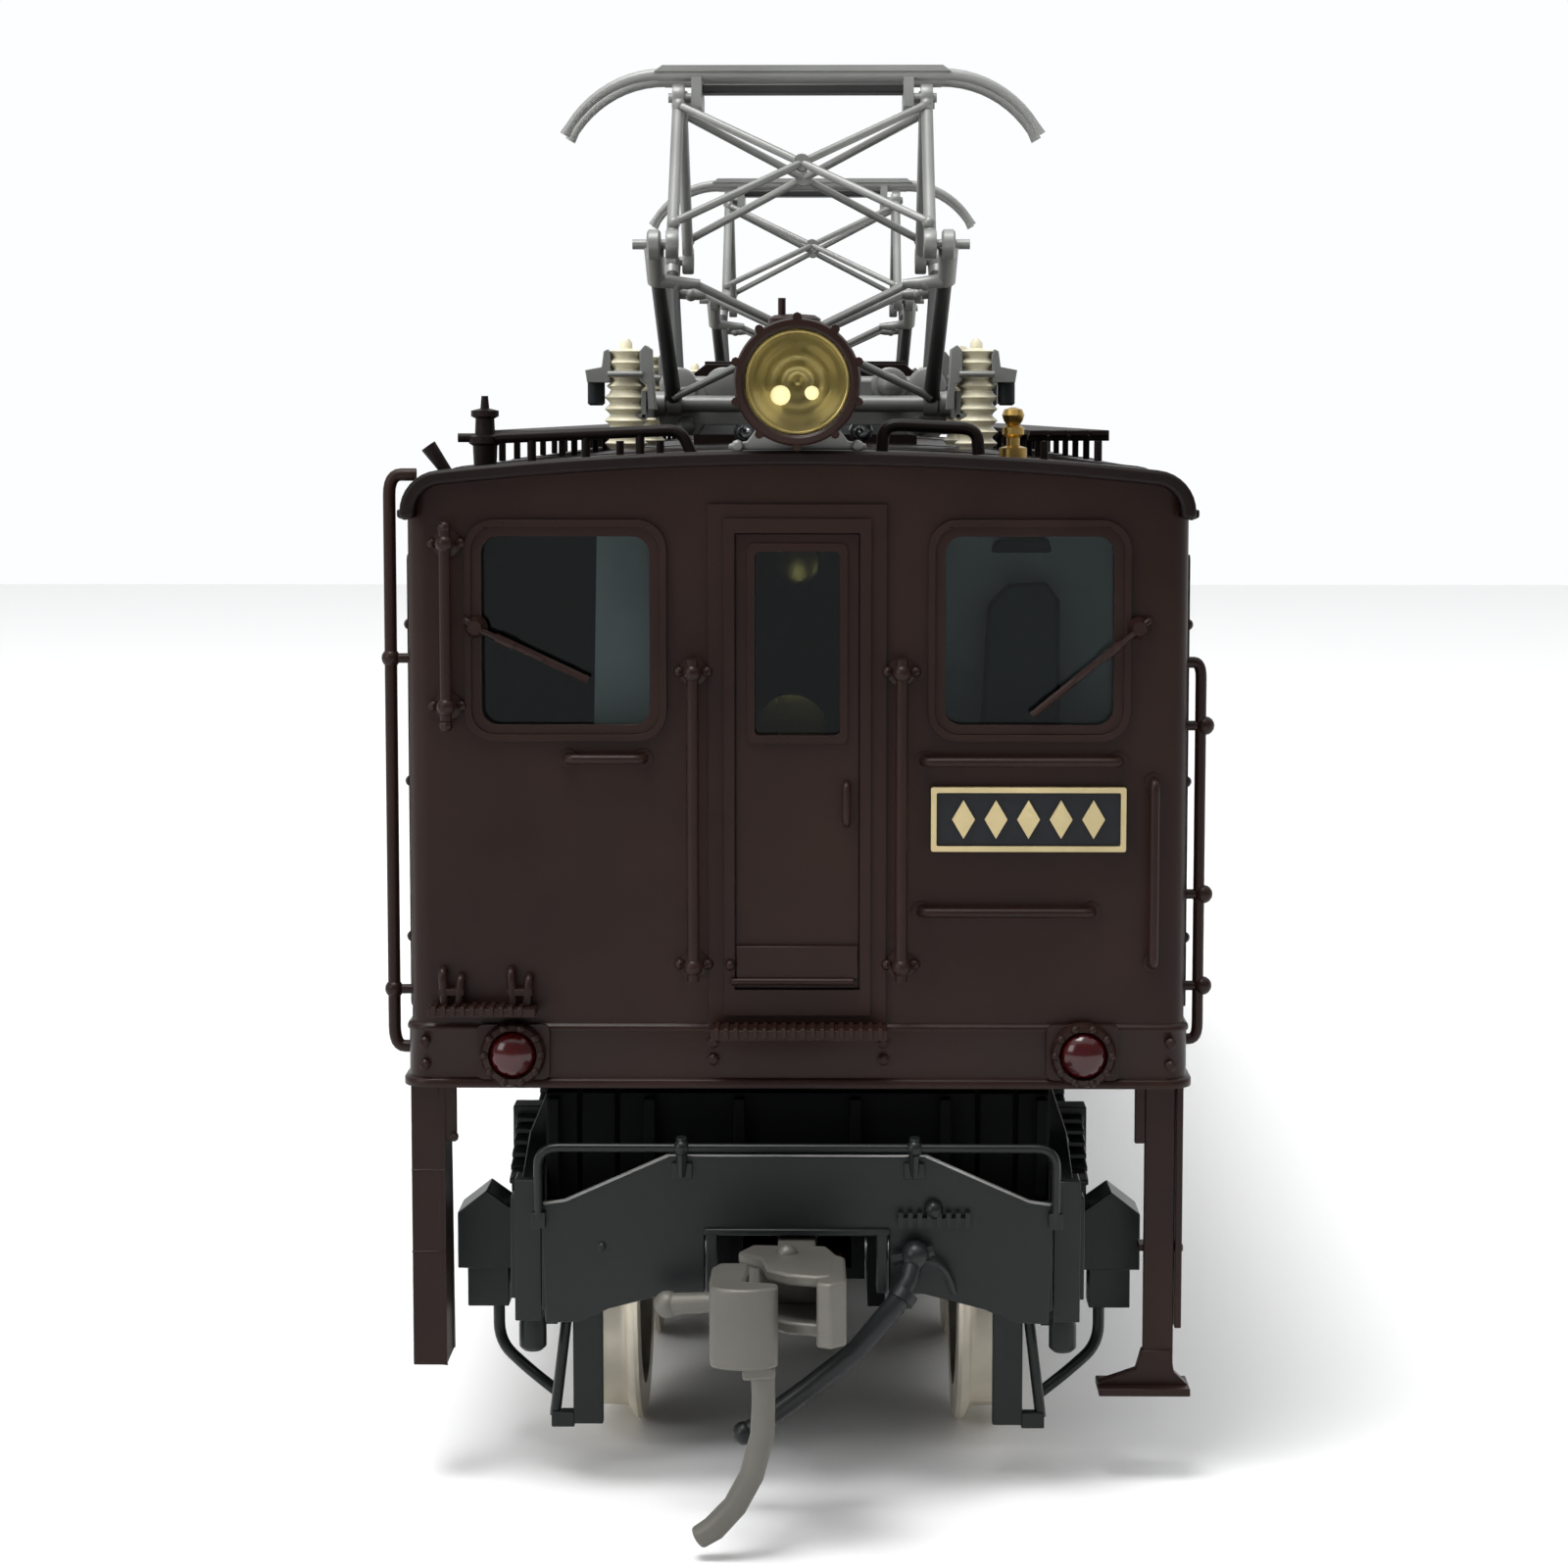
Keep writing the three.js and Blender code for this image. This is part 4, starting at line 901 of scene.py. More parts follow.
conduits = [
    wire([(-13.4, FACE + 3.0, 46.75), (-5.2, FACE + 3.0, 47.1), (-4.7, FACE + 3.0, 46.0)], 0.26, 0.6),
    wire(
        [
            (3.7, FACE + 3.2, 46.0), (3.8, FACE + 3.2, 47.35), (7.9, FACE + 3.2, 47.15),
            (8.0, FACE + 3.2, 46.0)
        ],
        0.28, 0.7
    ),
    turned([
        (0.5, 45.3), (0.55, 46.4), (0.72, 46.5), (0.72, 46.8), (0.45, 46.9), (0.42, 47.6), (0.62, 47.7),
            (0.62, 47.95), (0.2, 48.05), (0.15, 48.6)], "Z", (-13.9, FACE + 3.4, 0), 18),
    tube([(-15.1, FACE + 3.4, 46.75), (-12.8, FACE + 3.4, 46.75)], 0.2),
    tube([(-15.45, FACE + 2.2, 45.2), (-16.3, FACE + 2.2, 46.4)], [0.25, 0.36]),
    *[tube([(x, FACE + 3.0, 45.6), (x, FACE + 3.0, 46.9)], 0.2) for x in (-11.8, -9.4, -7.0)],
    *[tube([(x, FACE + 5, 45.7), (x, FACE + 5, 46.6)], 0.18) for x in (-6.2, -8.0, 11.0, 13.4)],
]
at_both_ends("roof_conduits", together(*conduits), ROOF_BROWN, "body_brown")
whistle = turned([
    (0.62, 45.4), (0.62, 46.3), (0.3, 46.4), (0.3, 46.75), (0.5, 46.9), (0.5, 47.2), (0.28, 47.3),
                  (0.42, 47.5), (0.5, 47.75), (0.4, 48.0), (0.1, 48.1)], "Z", (9.55, FACE + 4, 0), 20)
at_both_ends("whistle", whistle, BRASS, "body_brown")

# ---- Pantographs ---------------------------------------------------------------------------
# Each base is a silvered casting on four ribbed porcelain insulators. Two pairs of hinged tube
# frames carry the collector head, with diagonal stays soldered across every frame.
JOINT = {j["name"]: np.array(j["pos_m"]) / MM for j in frame["record"]["behaviour"]["joints"]}
FOOT = {k: JOINT[f"front_pantograph_{n}"] for k, n in ((-1, "fold"), (1, "lower_far_fold"))}
KNEE = {k: JOINT[f"front_pantograph_upper_{n}_fold"] for k, n in ((-1, "near"), (1, "far"))}
HEAD = {k: JOINT["front_pantograph_head_tilt"] * (1, 0, 1) + (0, FOOT[k][1], 0) for k in (-1, 1)}
PANTO_Y = (FOOT[-1][1] + FOOT[1][1]) / 2
PORCELAIN = finish("cream_porcelain", (0.80, 0.75, 0.56), 0.35, coat=0.3, mottle=0.08)
INSULATOR_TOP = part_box("front_pantograph_base")[1][2] / MM
heights = np.linspace(46.1, INSULATOR_TOP - 0.6, 97)
climb = (heights - 46.1) / (INSULATOR_TOP - 46.7)
waist = np.where(climb < 0.6, 0.80, 0.70)
ripple = waist + 0.26 * (1 - np.abs(np.cos(climb * math.pi * 8.5))) ** 0.8
insulator = np.concatenate((
    np.column_stack((ripple, heights)),
    [
        (0.66, INSULATOR_TOP - 0.55), (0.3, INSULATOR_TOP - 0.45), (0.3, INSULATOR_TOP - 0.2),
        (0.15, INSULATOR_TOP)
    ],
))
corners = [(i * 8.45, PANTO_Y + k * 9.6) for i in (-1, 1) for k in (-1, 1)]
at_both_ends(
    "pantograph_insulators", together(*[turned(insulator, "Z", (x, y, 0), 24) for x, y in corners]),
             PORCELAIN, "pantograph_silver", stands_for=["pantograph_base"])

base, bolts = [], []
for i in (-1, 1):
    base += [
        block(i * 7.45, i * 7.7, PANTO_Y - 10.3, PANTO_Y + 10.3, 47.6, 48.9),
        block(i * 7.45, i * 7.95, PANTO_Y - 10.3, PANTO_Y + 10.3, 47.6, 47.8),
        turned([(0.62, i * 6.9), (0.62, i * 7.5)], "X", FOOT[-1] * (0, 1, 1), 16),
        turned([(0.62, i * 6.9), (0.62, i * 7.5)], "X", FOOT[1] * (0, 1, 1), 16),
    ]
    for k in (-1, 1):
        y = PANTO_Y + k * 9.6
        hook = [
            (i * 7.0, 48.0), (i * 7.35, 48.0), (i * 7.4, 49.2), (i * 7.75, 49.4), (i * 7.75, 50.8),
            (i * 7.5, 51.1), (i * 7.2, 50.9), (i * 7.15, 49.6)
        ]
        ear = [
            (i * 9.3, 50.9), (i * 9.15, 50.6), (i * 9.2, 49.3), (i * 10.3, 49.3), (i * 10.4, 49.9),
            (i * 9.6, 50.05), (i * 9.5, 50.8)
        ]
        base += [
            prism(hook, "Y", y - 1.0, y + 1.0), prism(ear, "Y", y - 0.7, y + 0.7),
            tube([(i * 7.6, y - 1.05, 49.7), (i * 9.3, y - 1.05, 49.7)], 0.16, 8),
            tube([(i * 7.6, y + 1.05, 49.7), (i * 9.3, y + 1.05, 49.7)], 0.16, 8),
        ]
        bolts.append(turned([(0.3, 48.2), (0.42, 48.3), (0.42, 49.4)], "Z", (i * 9.9, y, 0), 12))
bar_outline = [
    (-5.0, 47.25), (5.0, 47.25), (5.3, 46.75), (6.4, 46.6), (7.1, 46.85), (7.3, 47.6), (7.3, 48.6),
    (6.9, 49.2),
    (5.4, 49.35), (5.0, 49.45), (-5.0, 49.45), (-5.4, 49.35), (-6.9, 49.2), (-7.3, 48.6), (-7.3, 47.6),
    (-7.1, 46.85),
    (-6.4, 46.6), (-5.3, 46.75),
]
base.append(prism(bar_outline, "Y", PANTO_Y - 1.25, PANTO_Y + 1.25))
base += [
    turned([(0.8, -1.45), (0.95, -1.35), (0.95, 1.35), (0.8, 1.45)], "Y", (x, PANTO_Y, 49.2), 24)
    for x in (-4.0, 4.4, 6.3, -6.3)
]
base += [
    ball((x, PANTO_Y + y, z), r, 14) for x, y, z,
    r in (
        (4.4, -1.4, 49.2, 0.66), (-5.9, -1.3, 48.6, 0.6), (5.9, -1.3, 47.2, 0.5), (-5.9, -1.3, 47.2, 0.5),
        (4.4, 1.4, 49.2, 0.66)
    )
]
base += [turned([(0.35, -5.9), (0.35, 5.9)], "X", (0, PANTO_Y, 49.35), 12)]
at_both_ends("pantograph_casting", together(*base), SILVER, "pantograph_silver", bevel=0.07)
at_both_ends("insulator_bolts", together(*bolts), DARK, "pantograph_silver")


def coil(a, b, radius, gauge, turns):
    """A helix of wire between two points, with its ends reaching the axis."""
    a, b = np.array(a, float), np.array(b, float)
    t = np.linspace(0, 1, turns * 10 + 1)
    axis = (b - a) / np.linalg.norm(b - a)
    side = np.cross(axis, (0, 0, 1))
    side /= np.linalg.norm(side)
    up = np.cross(side, axis)
    a_t = 2 * math.pi * turns * t
    swell = radius * np.clip(np.minimum(t, 1 - t) * 14, 0, 1)
    path = a + t[:, None] * (b - a) + swell[:, None] * (
        np.cos(a_t)[:, None] * side + np.sin(a_t)[:, None] * up)
    return tube(path, gauge, 6)


springs = [coil((x, PANTO_Y + 1.3, 46.95), (x, PANTO_Y + 8.6, 46.95), 0.5, 0.12, 14) for x in (-3.0, 3.0)]
hooks = [block(x - 0.4, x + 0.4, PANTO_Y + 8.5, PANTO_Y + 8.8, 46.5, 47.35) for x in (-3.0, 3.0)]
hooks.append(block(-7.6, 7.6, PANTO_Y + 8.7, PANTO_Y + 9.0, 46.7, 47.2))
STEEL = finish("bright_steel", (0.50, 0.51, 0.52), 0.28, metallic=1.0)
at_both_ends("pantograph_springs", together(*springs, *hooks), STEEL, "pantograph_silver")

# A near-black steel. On the lower legs of both frames it paints the shade that darkens them beside the
# silver base; it also colours the head's spring plate.
DARK_STEEL_AND_SHADE = finish("dark_steel_and_painted_shade", (0.050, 0.051, 0.050), 0.45, metallic=0.4, mottle=0.2)


def along(a, b, share, aside=0.0):
    """A point part of the way from a to b, moved by aside square to them in the YZ plane."""
    step = b - a
    square = np.array((0, -step[2], step[1])) / np.linalg.norm(step)
    return a + share * step + aside * square


for k, where in ((-1, "near"), (1, "far")):
    foot, knee, head = FOOT[k], KNEE[k], HEAD[k]
    shift = -k * 0.3
    across = np.array((1.0, 0, 0))
    bracket_out, bracket_in = along(foot, knee, 0.81, shift), along(foot, knee, 0.79, shift)
    lower, legs = [tube([foot - 7.3 * across, foot + 7.3 * across], 0.42)], []
    for i in (-1, 1):
        legs.append(
            tube([foot + i * 6.45 * across, along(foot, knee, 0.9) + i * 7.03 * across], [0.42, 0.36], 14)
        )
        lower += [
            turned(
                [(0.6, i * 6.75), (0.72, i * 6.85), (0.72, i * 7.3), (0.6, i * 7.4)], "X",
                knee * (0, 1, 1), 24
            ),
            tube(
                [knee + i * 7.08 * across, along(foot, knee, 0.8, shift) + i * 7.05 * across],
                [0.5, 0.42], 12
            ),
            tube([knee + i * 5.98 * across, knee + i * 8.1 * across], 0.24),
            turned([(0.62, i * 6.1), (0.62, i * 6.8)], "X", foot * (0, 1, 1), 18),
            tube(
                [
                    bracket_out + i * 7.1 * across, bracket_in + i * 5.6 * across,
                    bracket_in + i * 4.9 * across
                ],
                [0.36, 0.3, 0.2], 10
            ),
            tube(
                [bracket_in + i * 5.2 * across, along(foot, knee, 0.07, shift) - i * 6.45 * across], 0.21,
                10
            ),
            ball(bracket_in + i * 6.0 * across, 0.36, 10),
        ]
    at_both_ends(f"pantograph_lower_tubes_{where}", together(*lower), SILVER, "pantograph_silver",
                 body=f"pantograph_lower_{where}", stands_for=[f"pantograph_lower_frame_{where}"])
    # The lower legs take the near-black steel, which paints their shade.
    at_both_ends(f"pantograph_lower_legs_{where}", together(*legs), DARK_STEEL_AND_SHADE, "pantograph_silver",
                 body=f"pantograph_lower_{where}")
    ring = np.array([(0.36, 5.9), (0.66, 5.9), (0.7, 6.0), (0.7, 6.4), (0.66, 6.5), (0.36, 6.5)])
    turn = np.linspace(0, 2 * math.pi, 20, endpoint=False)
    upper = []
    for i in (-1, 1):
        for end in (knee, head):
            eye = np.column_stack((
                i * np.repeat(ring[:, 1], 20),
                end[1] + (ring[:, :1] * np.cos(turn)).ravel(),
                end[2] + (ring[:, :1] * np.sin(turn)).ravel(),
            ))
            upper.append((eye, quads(len(ring), 20, close_rows=True, close_columns=True)))
        low, high = along(knee, head, 0.11, shift), along(knee, head, 0.92, shift)
        upper += [
            tube(
                [along(knee, head, 0.05) + i * 6.2 * across, along(knee, head, 0.95) + i * 6.2 * across],
                0.3, 14
            ),
            tube([low + i * 6.2 * across, high - i * 6.2 * across], 0.21, 10),
            ball(low + i * 6.15 * across, 0.33, 10), ball(high + i * 6.15 * across, 0.33, 10),
        ]
    upper.append(
        turned(
            [(0.4, -0.22), (0.45, -0.1), (0.45, 0.1), (0.4, 0.22)], "Y", along(knee, head, 0.515, shift),
            16
        )
    )
    at_both_ends(f"pantograph_upper_tubes_{where}", together(*upper), SILVER, "pantograph_silver",
                 body=f"pantograph_upper_{where}", stands_for=[f"pantograph_upper_frame_{where}"])

STRIP_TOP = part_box("front_pantograph_head")[1][2] / MM
STRIP = finish("strip_silver", (0.30, 0.304, 0.294), 0.45, metallic=0.3, relief=0.0, mottle=0.12)
horn_angle = np.linspace(0, math.radians(62), 12)
horns = []
for k in (-1, 1):
    y = PANTO_Y + k * 1.95
    for i in (-1, 1):
        reach = 7.0 + 4.9 * np.sin(horn_angle) / math.sin(horn_angle[-1])
        drop = 3.0 * ((1 - np.cos(horn_angle)) / (1 - math.cos(horn_angle[-1])))
        path = np.column_stack((i * reach, np.full(12, y), STRIP_TOP - 0.42 - drop))
        horns.append(tube(path, np.append(np.linspace(0.30, 0.22, 11), 0.28), 16))
    horns.append(tube([(-7.05, y, STRIP_TOP - 0.42), (7.05, y, STRIP_TOP - 0.42)], 0.33))
    horns.append(
        prism(
            [(-7.4, STRIP_TOP - 0.3), (7.4, STRIP_TOP - 0.3), (7.0, STRIP_TOP), (-7.0, STRIP_TOP)], "Y",
            y - 0.42, y + 0.42
        )
    )
for i in (-1, 1):
    horns += [
        block(i * 5.05, i * 5.55, PANTO_Y - 2.3, PANTO_Y + 2.3, HEAD[1][2] + 0.15, STRIP_TOP - 0.55),
        block(i * 5.05, i * 5.55, PANTO_Y - 2.5, PANTO_Y + 2.5, HEAD[1][2] - 0.45, HEAD[1][2] + 0.2),
        *[
            tube([(i * 5.3, HEAD[k][1], HEAD[k][2]), (i * 6.7, HEAD[k][1], HEAD[k][2])], 0.24)
            for k in (-1, 1)
        ],
    ]
at_both_ends("pantograph_collector", together(*horns), STRIP, "pantograph_silver", body="pantograph_head",
             stands_for=["pantograph_head"])
spring_plate = block(-5.1, 5.1, PANTO_Y - 0.9, PANTO_Y + 0.9, HEAD[1][2] + 0.35, HEAD[1][2] + 0.8)
at_both_ends(
    "pantograph_spring_plate", spring_plate, DARK_STEEL_AND_SHADE, "pantograph_silver", body="pantograph_head", bevel=0.08
)

# ---- Bogie frames --------------------------------------------------------------------------
# Cast side frames with axle boxes and leaf springs, joined by a cranked headstock plate, all
# in a black satin paint. Light metal lines along the headstock's top edges are worn paint and
# painted highlights together. A blacker black on the parts under the body paints their shade.
BLACK = finish(
    "black_satin_paint", (0.0085, 0.0105, 0.0105), 0.34, mottle=0.35, relief=0.006, specular=0.26
)
# A blacker black for the parts under the body: it paints the shade under the floor and between the bogie
# frames.
UNDERSIDE_SHADE_BLACK = finish("matt_black_painted_shade", (0.0020, 0.0024, 0.0025), 0.65, specular=0.08)
PIVOT = JOINT["front_bogie_swivel"]
AXLES = [JOINT[f"front_wheelset_{n}_spin"] for n in (1, 2, 3)]
STOCK_LOW = np.array(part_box("front_headstock")[0]) / MM
FRONT = STOCK_LOW[1]
side_line = [
    (-28.8, 7.8), (-21, 7.8), (-20, 5.2), (-13, 5.2), (-12, 7.8), (-5, 7.8), (-3.6, 3.4), (3.6, 3.4),
    (5, 7.8), (12, 7.8), (13, 5.2), (20, 5.2), (21.5, 7.8), (21.5, 12.6), (17, 15.2),
    (4.6, 15.2), (4.2, 15.9),
    (-4.2, 15.9), (-4.6, 15.2), (-24, 15.2), (-28.8, 13.9),
]
for name, i in (("left", -1), ("right", 1)):
    shifted = [(y + PIVOT[1], z) for y, z in side_line]
    windows = [
        rounded_rectangle(PIVOT[1] + a, PIVOT[1] + b, 9.2, 12.0, 0.8)
        for a, b in ((-11.4, -5.6), (5.6, 11.4))
    ]
    web, web_faces = cut_sheet(shifted, windows, 11.35, 12.25)
    u, v, w = web.T
    parts = [(np.column_stack((i * w, u, v)), web_faces)]
    for axle in AXLES:
        y, z = axle[1], axle[2]
        parts += [
            block(i * 12.2, i * 12.9, y - 2.2, y + 2.2, z - 2.2, z + 2.3),
            block(i * 12.9, i * 13.5, y - 1.6, y + 1.6, z - 1.7, z + 1.6),
            turned([(1.2, i * 13.4), (1.2, i * 13.6), (0.9, i * 13.7)], "X", (0, y, z), 24),
            block(i * 12.2, i * 12.7, y - 3.0, y - 2.3, z - 2.4, 13.2),
            block(i * 12.2, i * 12.7, y + 2.3, y + 3.0, z - 2.4, 13.2),
        ]
        for leaf in range(6):
            half, low = 5.4 - 0.75 * leaf, 12.3 + 0.33 * leaf
            t = np.linspace(-half, half, 13)
            arc = low + 0.55 * (1 - (t / 5.4) ** 2)
            outline = np.concatenate(
                (np.column_stack((t + y, arc)), np.column_stack((t[::-1] + y, arc[::-1] + 0.26)))
            )
            parts.append(prism(outline, "X", i * 12.3, i * 13.4))
        parts += [
            block(i * 12.25, i * 13.6, y - 0.8, y + 0.8, 12.6, 15.1),
            *[
                block(i * 12.3, i * 13.3, y + k * 5.0 - 0.35, y + k * 5.0 + 0.35, 11.6, 12.9)
                for k in (-1, 1)
            ],
        ]
    rivets = [(i * 12.2, y, z) for y in np.arange(PIVOT[1] - 23, PIVOT[1] + 17, 1.6) for z in (14.6,)]
    parts += [turned([(0.2, 0), (0.2, i * 0.1), (0.1, i * 0.2)], "X", place, 8) for place in rivets]
    sand = [(i * 12.9, 8.6), (i * 15.7, 8.6), (i * 15.7, 11.2), (i * 14.35, 12.25), (i * 12.9, 11.2)]
    y0, y1 = PIVOT[1] - 23.1, PIVOT[1] - 20.3
    parts += [
        prism(sand, "Y", y0, y1), block(i * 13.4, i * 15.3, y0 + 0.5, y1 - 0.5, 6.7, 8.7),
        block(i * 12.2, i * 13.0, y0 + 0.6, y1 - 0.6, 8.8, 10.6),
        wire(
            [
                (i * 13.9, y0 + 1.0, 7.0), (i * 13.9, y0 + 1.0, 4.9), (i * 12.4, y0 - 0.2, 3.9),
                (i * 11.0, y0 - 0.6, 2.9)
            ],
            0.27, 1.0
        ),
        turned(
            [(0.4, 5.9), (0.62, 6.1), (0.62, 7.1), (0.5, 7.9)], "Z", (i * 11.9, PIVOT[1] - 27.5, 0), 16
        ),
        block(i * 11.35, i * 12.55, PIVOT[1] - 29.2, PIVOT[1] - 27.3, 7.65, 14.0),
        block(i * 12.5, i * 12.75, PIVOT[1] - 28.9, PIVOT[1] - 27.6, 8.6, 13.2),
    ]
    at_both_ends(f"bogie_side_casting_{name}", together(*parts), BLACK, "frame_black", body="bogie",
                 stands_for=[f"bogie_side_{name}"], bevel=0.07)

stock_line = [
    (-11.1, 7.85), (-9.6, 7.9), (-8.3, 8.5), (-5.6, 9.2), (-4.05, 9.25), (-4.05, 12.0), (4.05, 12.0),
    (4.05, 9.25),
    (5.6, 9.2), (8.3, 8.5), (9.6, 7.9), (11.1, 7.85), (11.3, 13.2), (10.2, 13.35), (5.65, 15.38),
    (-5.65, 15.38),
    (-10.2, 13.35), (-11.3, 13.2),
]
stock = [prism(stock_line, "Y", FRONT, FRONT + 0.6)]
stock += [
    prism(
        [(i * 4.0, 12.0), (i * 3.5, 12.0), (i * 3.5, 9.3), (i * 4.0, 9.3)], "Y", FRONT - 0.25, FRONT + 1.6
    )
    for i in (-1, 1)]
stock.append(block(-4.1, 4.1, FRONT - 0.25, FRONT + 1.6, 11.85, 12.15))
stock += [block(i * 10.9, i * 11.3, FRONT + 0.5, FRONT + 2.4, 8.3, 12.9) for i in (-1, 1)]
for i in (-1, 1):
    stock += [
        block(i * 8.8, i * 10.15, FRONT + 3.6, FRONT + 4.2, 2.3, 9.0),
        block(i * 8.8, i * 10.1, FRONT + 0.5, FRONT + 4.2, 8.3, 8.8),
        block(i * 10.1, i * 11.15, FRONT + 3.6, FRONT + 4.2, 2.15, 2.9),
        tube([(i * 11.0, FRONT + 3.9, 2.6), (i * 10.3, FRONT + 3.9, 8.4)], 0.26, 8),
    ]
at_both_ends(
    "headstock_plate", together(*stock), BLACK, "frame_black", body="bogie", stands_for=["headstock"],
    bevel=0.07
)

# Light metal lines along the headstock's top edges: worn paint there, and painted highlights where those
# edges catch the light from above.
edge_lines = [
    tube([(i * 11.25, FRONT - 0.02, 13.22), (i * 10.2, FRONT - 0.02, 13.37)], 0.07, 6) for i in (-1, 1)
] + [tube([(i * 10.2, FRONT - 0.02, 13.37), (i * 5.66, FRONT - 0.02, 15.38)], 0.08, 6) for i in (-1, 1)]
edge_lines.append(tube([(-5.66, FRONT - 0.0, 15.38), (5.66, FRONT - 0.0, 15.38)], 0.05, 6))
WORN_AND_HIGHLIT = finish("worn_edge_and_painted_highlight", (0.30, 0.30, 0.29), 0.4, metallic=0.7, mottle=0.6)
at_both_ends("headstock_worn_and_highlit_edges", together(*edge_lines), WORN_AND_HIGHLIT, "frame_black", body="bogie")
# The stretcher behind the headstock is in the blacker black, which paints the shade there.
plates = [(-11.25, -9.85), (-9.65, -8.15), (-7.95, 7.95), (8.15, 9.65), (9.85, 11.25)]
stretcher = [block(a, b, FRONT + 3.2, FRONT + 3.8, 12.6, 17.6) for a, b in plates]
stretcher.append(block(-11.25, 11.25, FRONT + 3.7, FRONT + 4.1, 12.6, 17.9))
stretcher += [
    block(x - 0.25, x + 0.25, FRONT + 2.7, FRONT + 3.3, 13.0, 17.4)
    for x in (-10.9, -6.6, -2.6, 2.6, 6.6, 10.9)
]
at_both_ends("bogie_stretcher", together(*stretcher), UNDERSIDE_SHADE_BLACK, "frame_black", body="bogie", bevel=0.06)

RAIL_Z = 15.85
front_rail = [wire([
    (-11.35, FRONT - 0.3, 12.4), (-11.35, FRONT - 0.6, RAIL_Z), (11.35, FRONT - 0.6, RAIL_Z),
    (11.35, FRONT - 0.3, 12.4),
], 0.2, 0.9)]
for x in (-5.05, 5.15):
    front_rail += [
        tube([(x, FRONT - 0.1, 14.5), (x, FRONT - 0.55, 16.3)], 0.25, 8),
        ball((x, FRONT - 0.6, RAIL_Z), 0.38, 10)
    ]
    front_rail += [block(x - 0.45, x + 0.45, FRONT - 0.3, FRONT + 0.1, 14.4, 15.1)]
for x in (-11.35, 11.35):
    front_rail += [block(x - 0.3, x + 0.3, FRONT - 0.5, FRONT + 0.1, 12.2, 12.9)]
at_both_ends("headstock_handrail", together(*front_rail), BLACK, "frame_black", body="bogie", bevel=0.03)
hose = [
    tube([
        (5.2, FRONT - 0.9, 11.2), (4.9, FRONT - 1.6, 10.2), (4.3, FRONT - 2.0, 9.2),
        (2.6, FRONT - 2.1, 7.2),
          (0.6, FRONT - 2.1, 5.6), (-1.4, FRONT - 2.1, 4.1), (-2.0, FRONT - 2.1, 3.7)], [0.42, 0.42, 0.5,
          0.46, 0.46, 0.46, 0.4], 14),
    ball((-2.3, FRONT - 2.1, 3.5), 0.52, 12),
    turned([(0.6, FRONT + 0.1), (0.6, FRONT - 0.5), (0.45, FRONT - 1.0)], "Y", (5.2, 0, 11.1), 14),
    tube([(4.2, FRONT - 0.9, 10.9), (6.0, FRONT - 0.9, 11.35)], 0.24, 8),
    ball((5.2, FRONT - 1.1, 11.2), 0.6, 12),
    tube([(4.75, FRONT - 1.7, 9.7), (4.5, FRONT - 1.9, 9.35)], 0.62, 12),
    wire([(5.4, FRONT - 1.0, 11.0), (6.5, FRONT - 0.9, 10.6), (6.9, FRONT - 0.5, 9.4)], 0.17, 0.7, 8),
]
RUBBER = finish("black_rubber", (0.010, 0.011, 0.012), 0.38, relief=0.01)
at_both_ends("brake_hose", together(*hose), RUBBER, "frame_black", body="bogie")
bracket = [
    block(4.4, 7.5, FRONT - 0.45, FRONT, 12.35, 12.7),
    *[block(x, x + 0.22, FRONT - 0.55, FRONT, 12.3, 12.95) for x in np.arange(4.45, 7.4, 0.42)],
    ball((6.0, FRONT - 0.3, 13.05), 0.42, 10),
    turned([(0.2, FRONT + 0.05), (0.2, FRONT - 0.12), (0.1, FRONT - 0.2)], "Y", (-8.6, 0, 11.3), 8),
]
at_both_ends("headstock_bracket", together(*bracket), BLACK, "frame_black", body="bogie")

# The centre frame and draw box take the blacker black, which paints the shade under the body.
for end, _ in ENDS:
    for node in ("bogie_centre_frame", "draw_box"):
        for slot in frame["nodes"][f"{end}_{node}"].material_slots:
            slot.material = UNDERSIDE_SHADE_BLACK

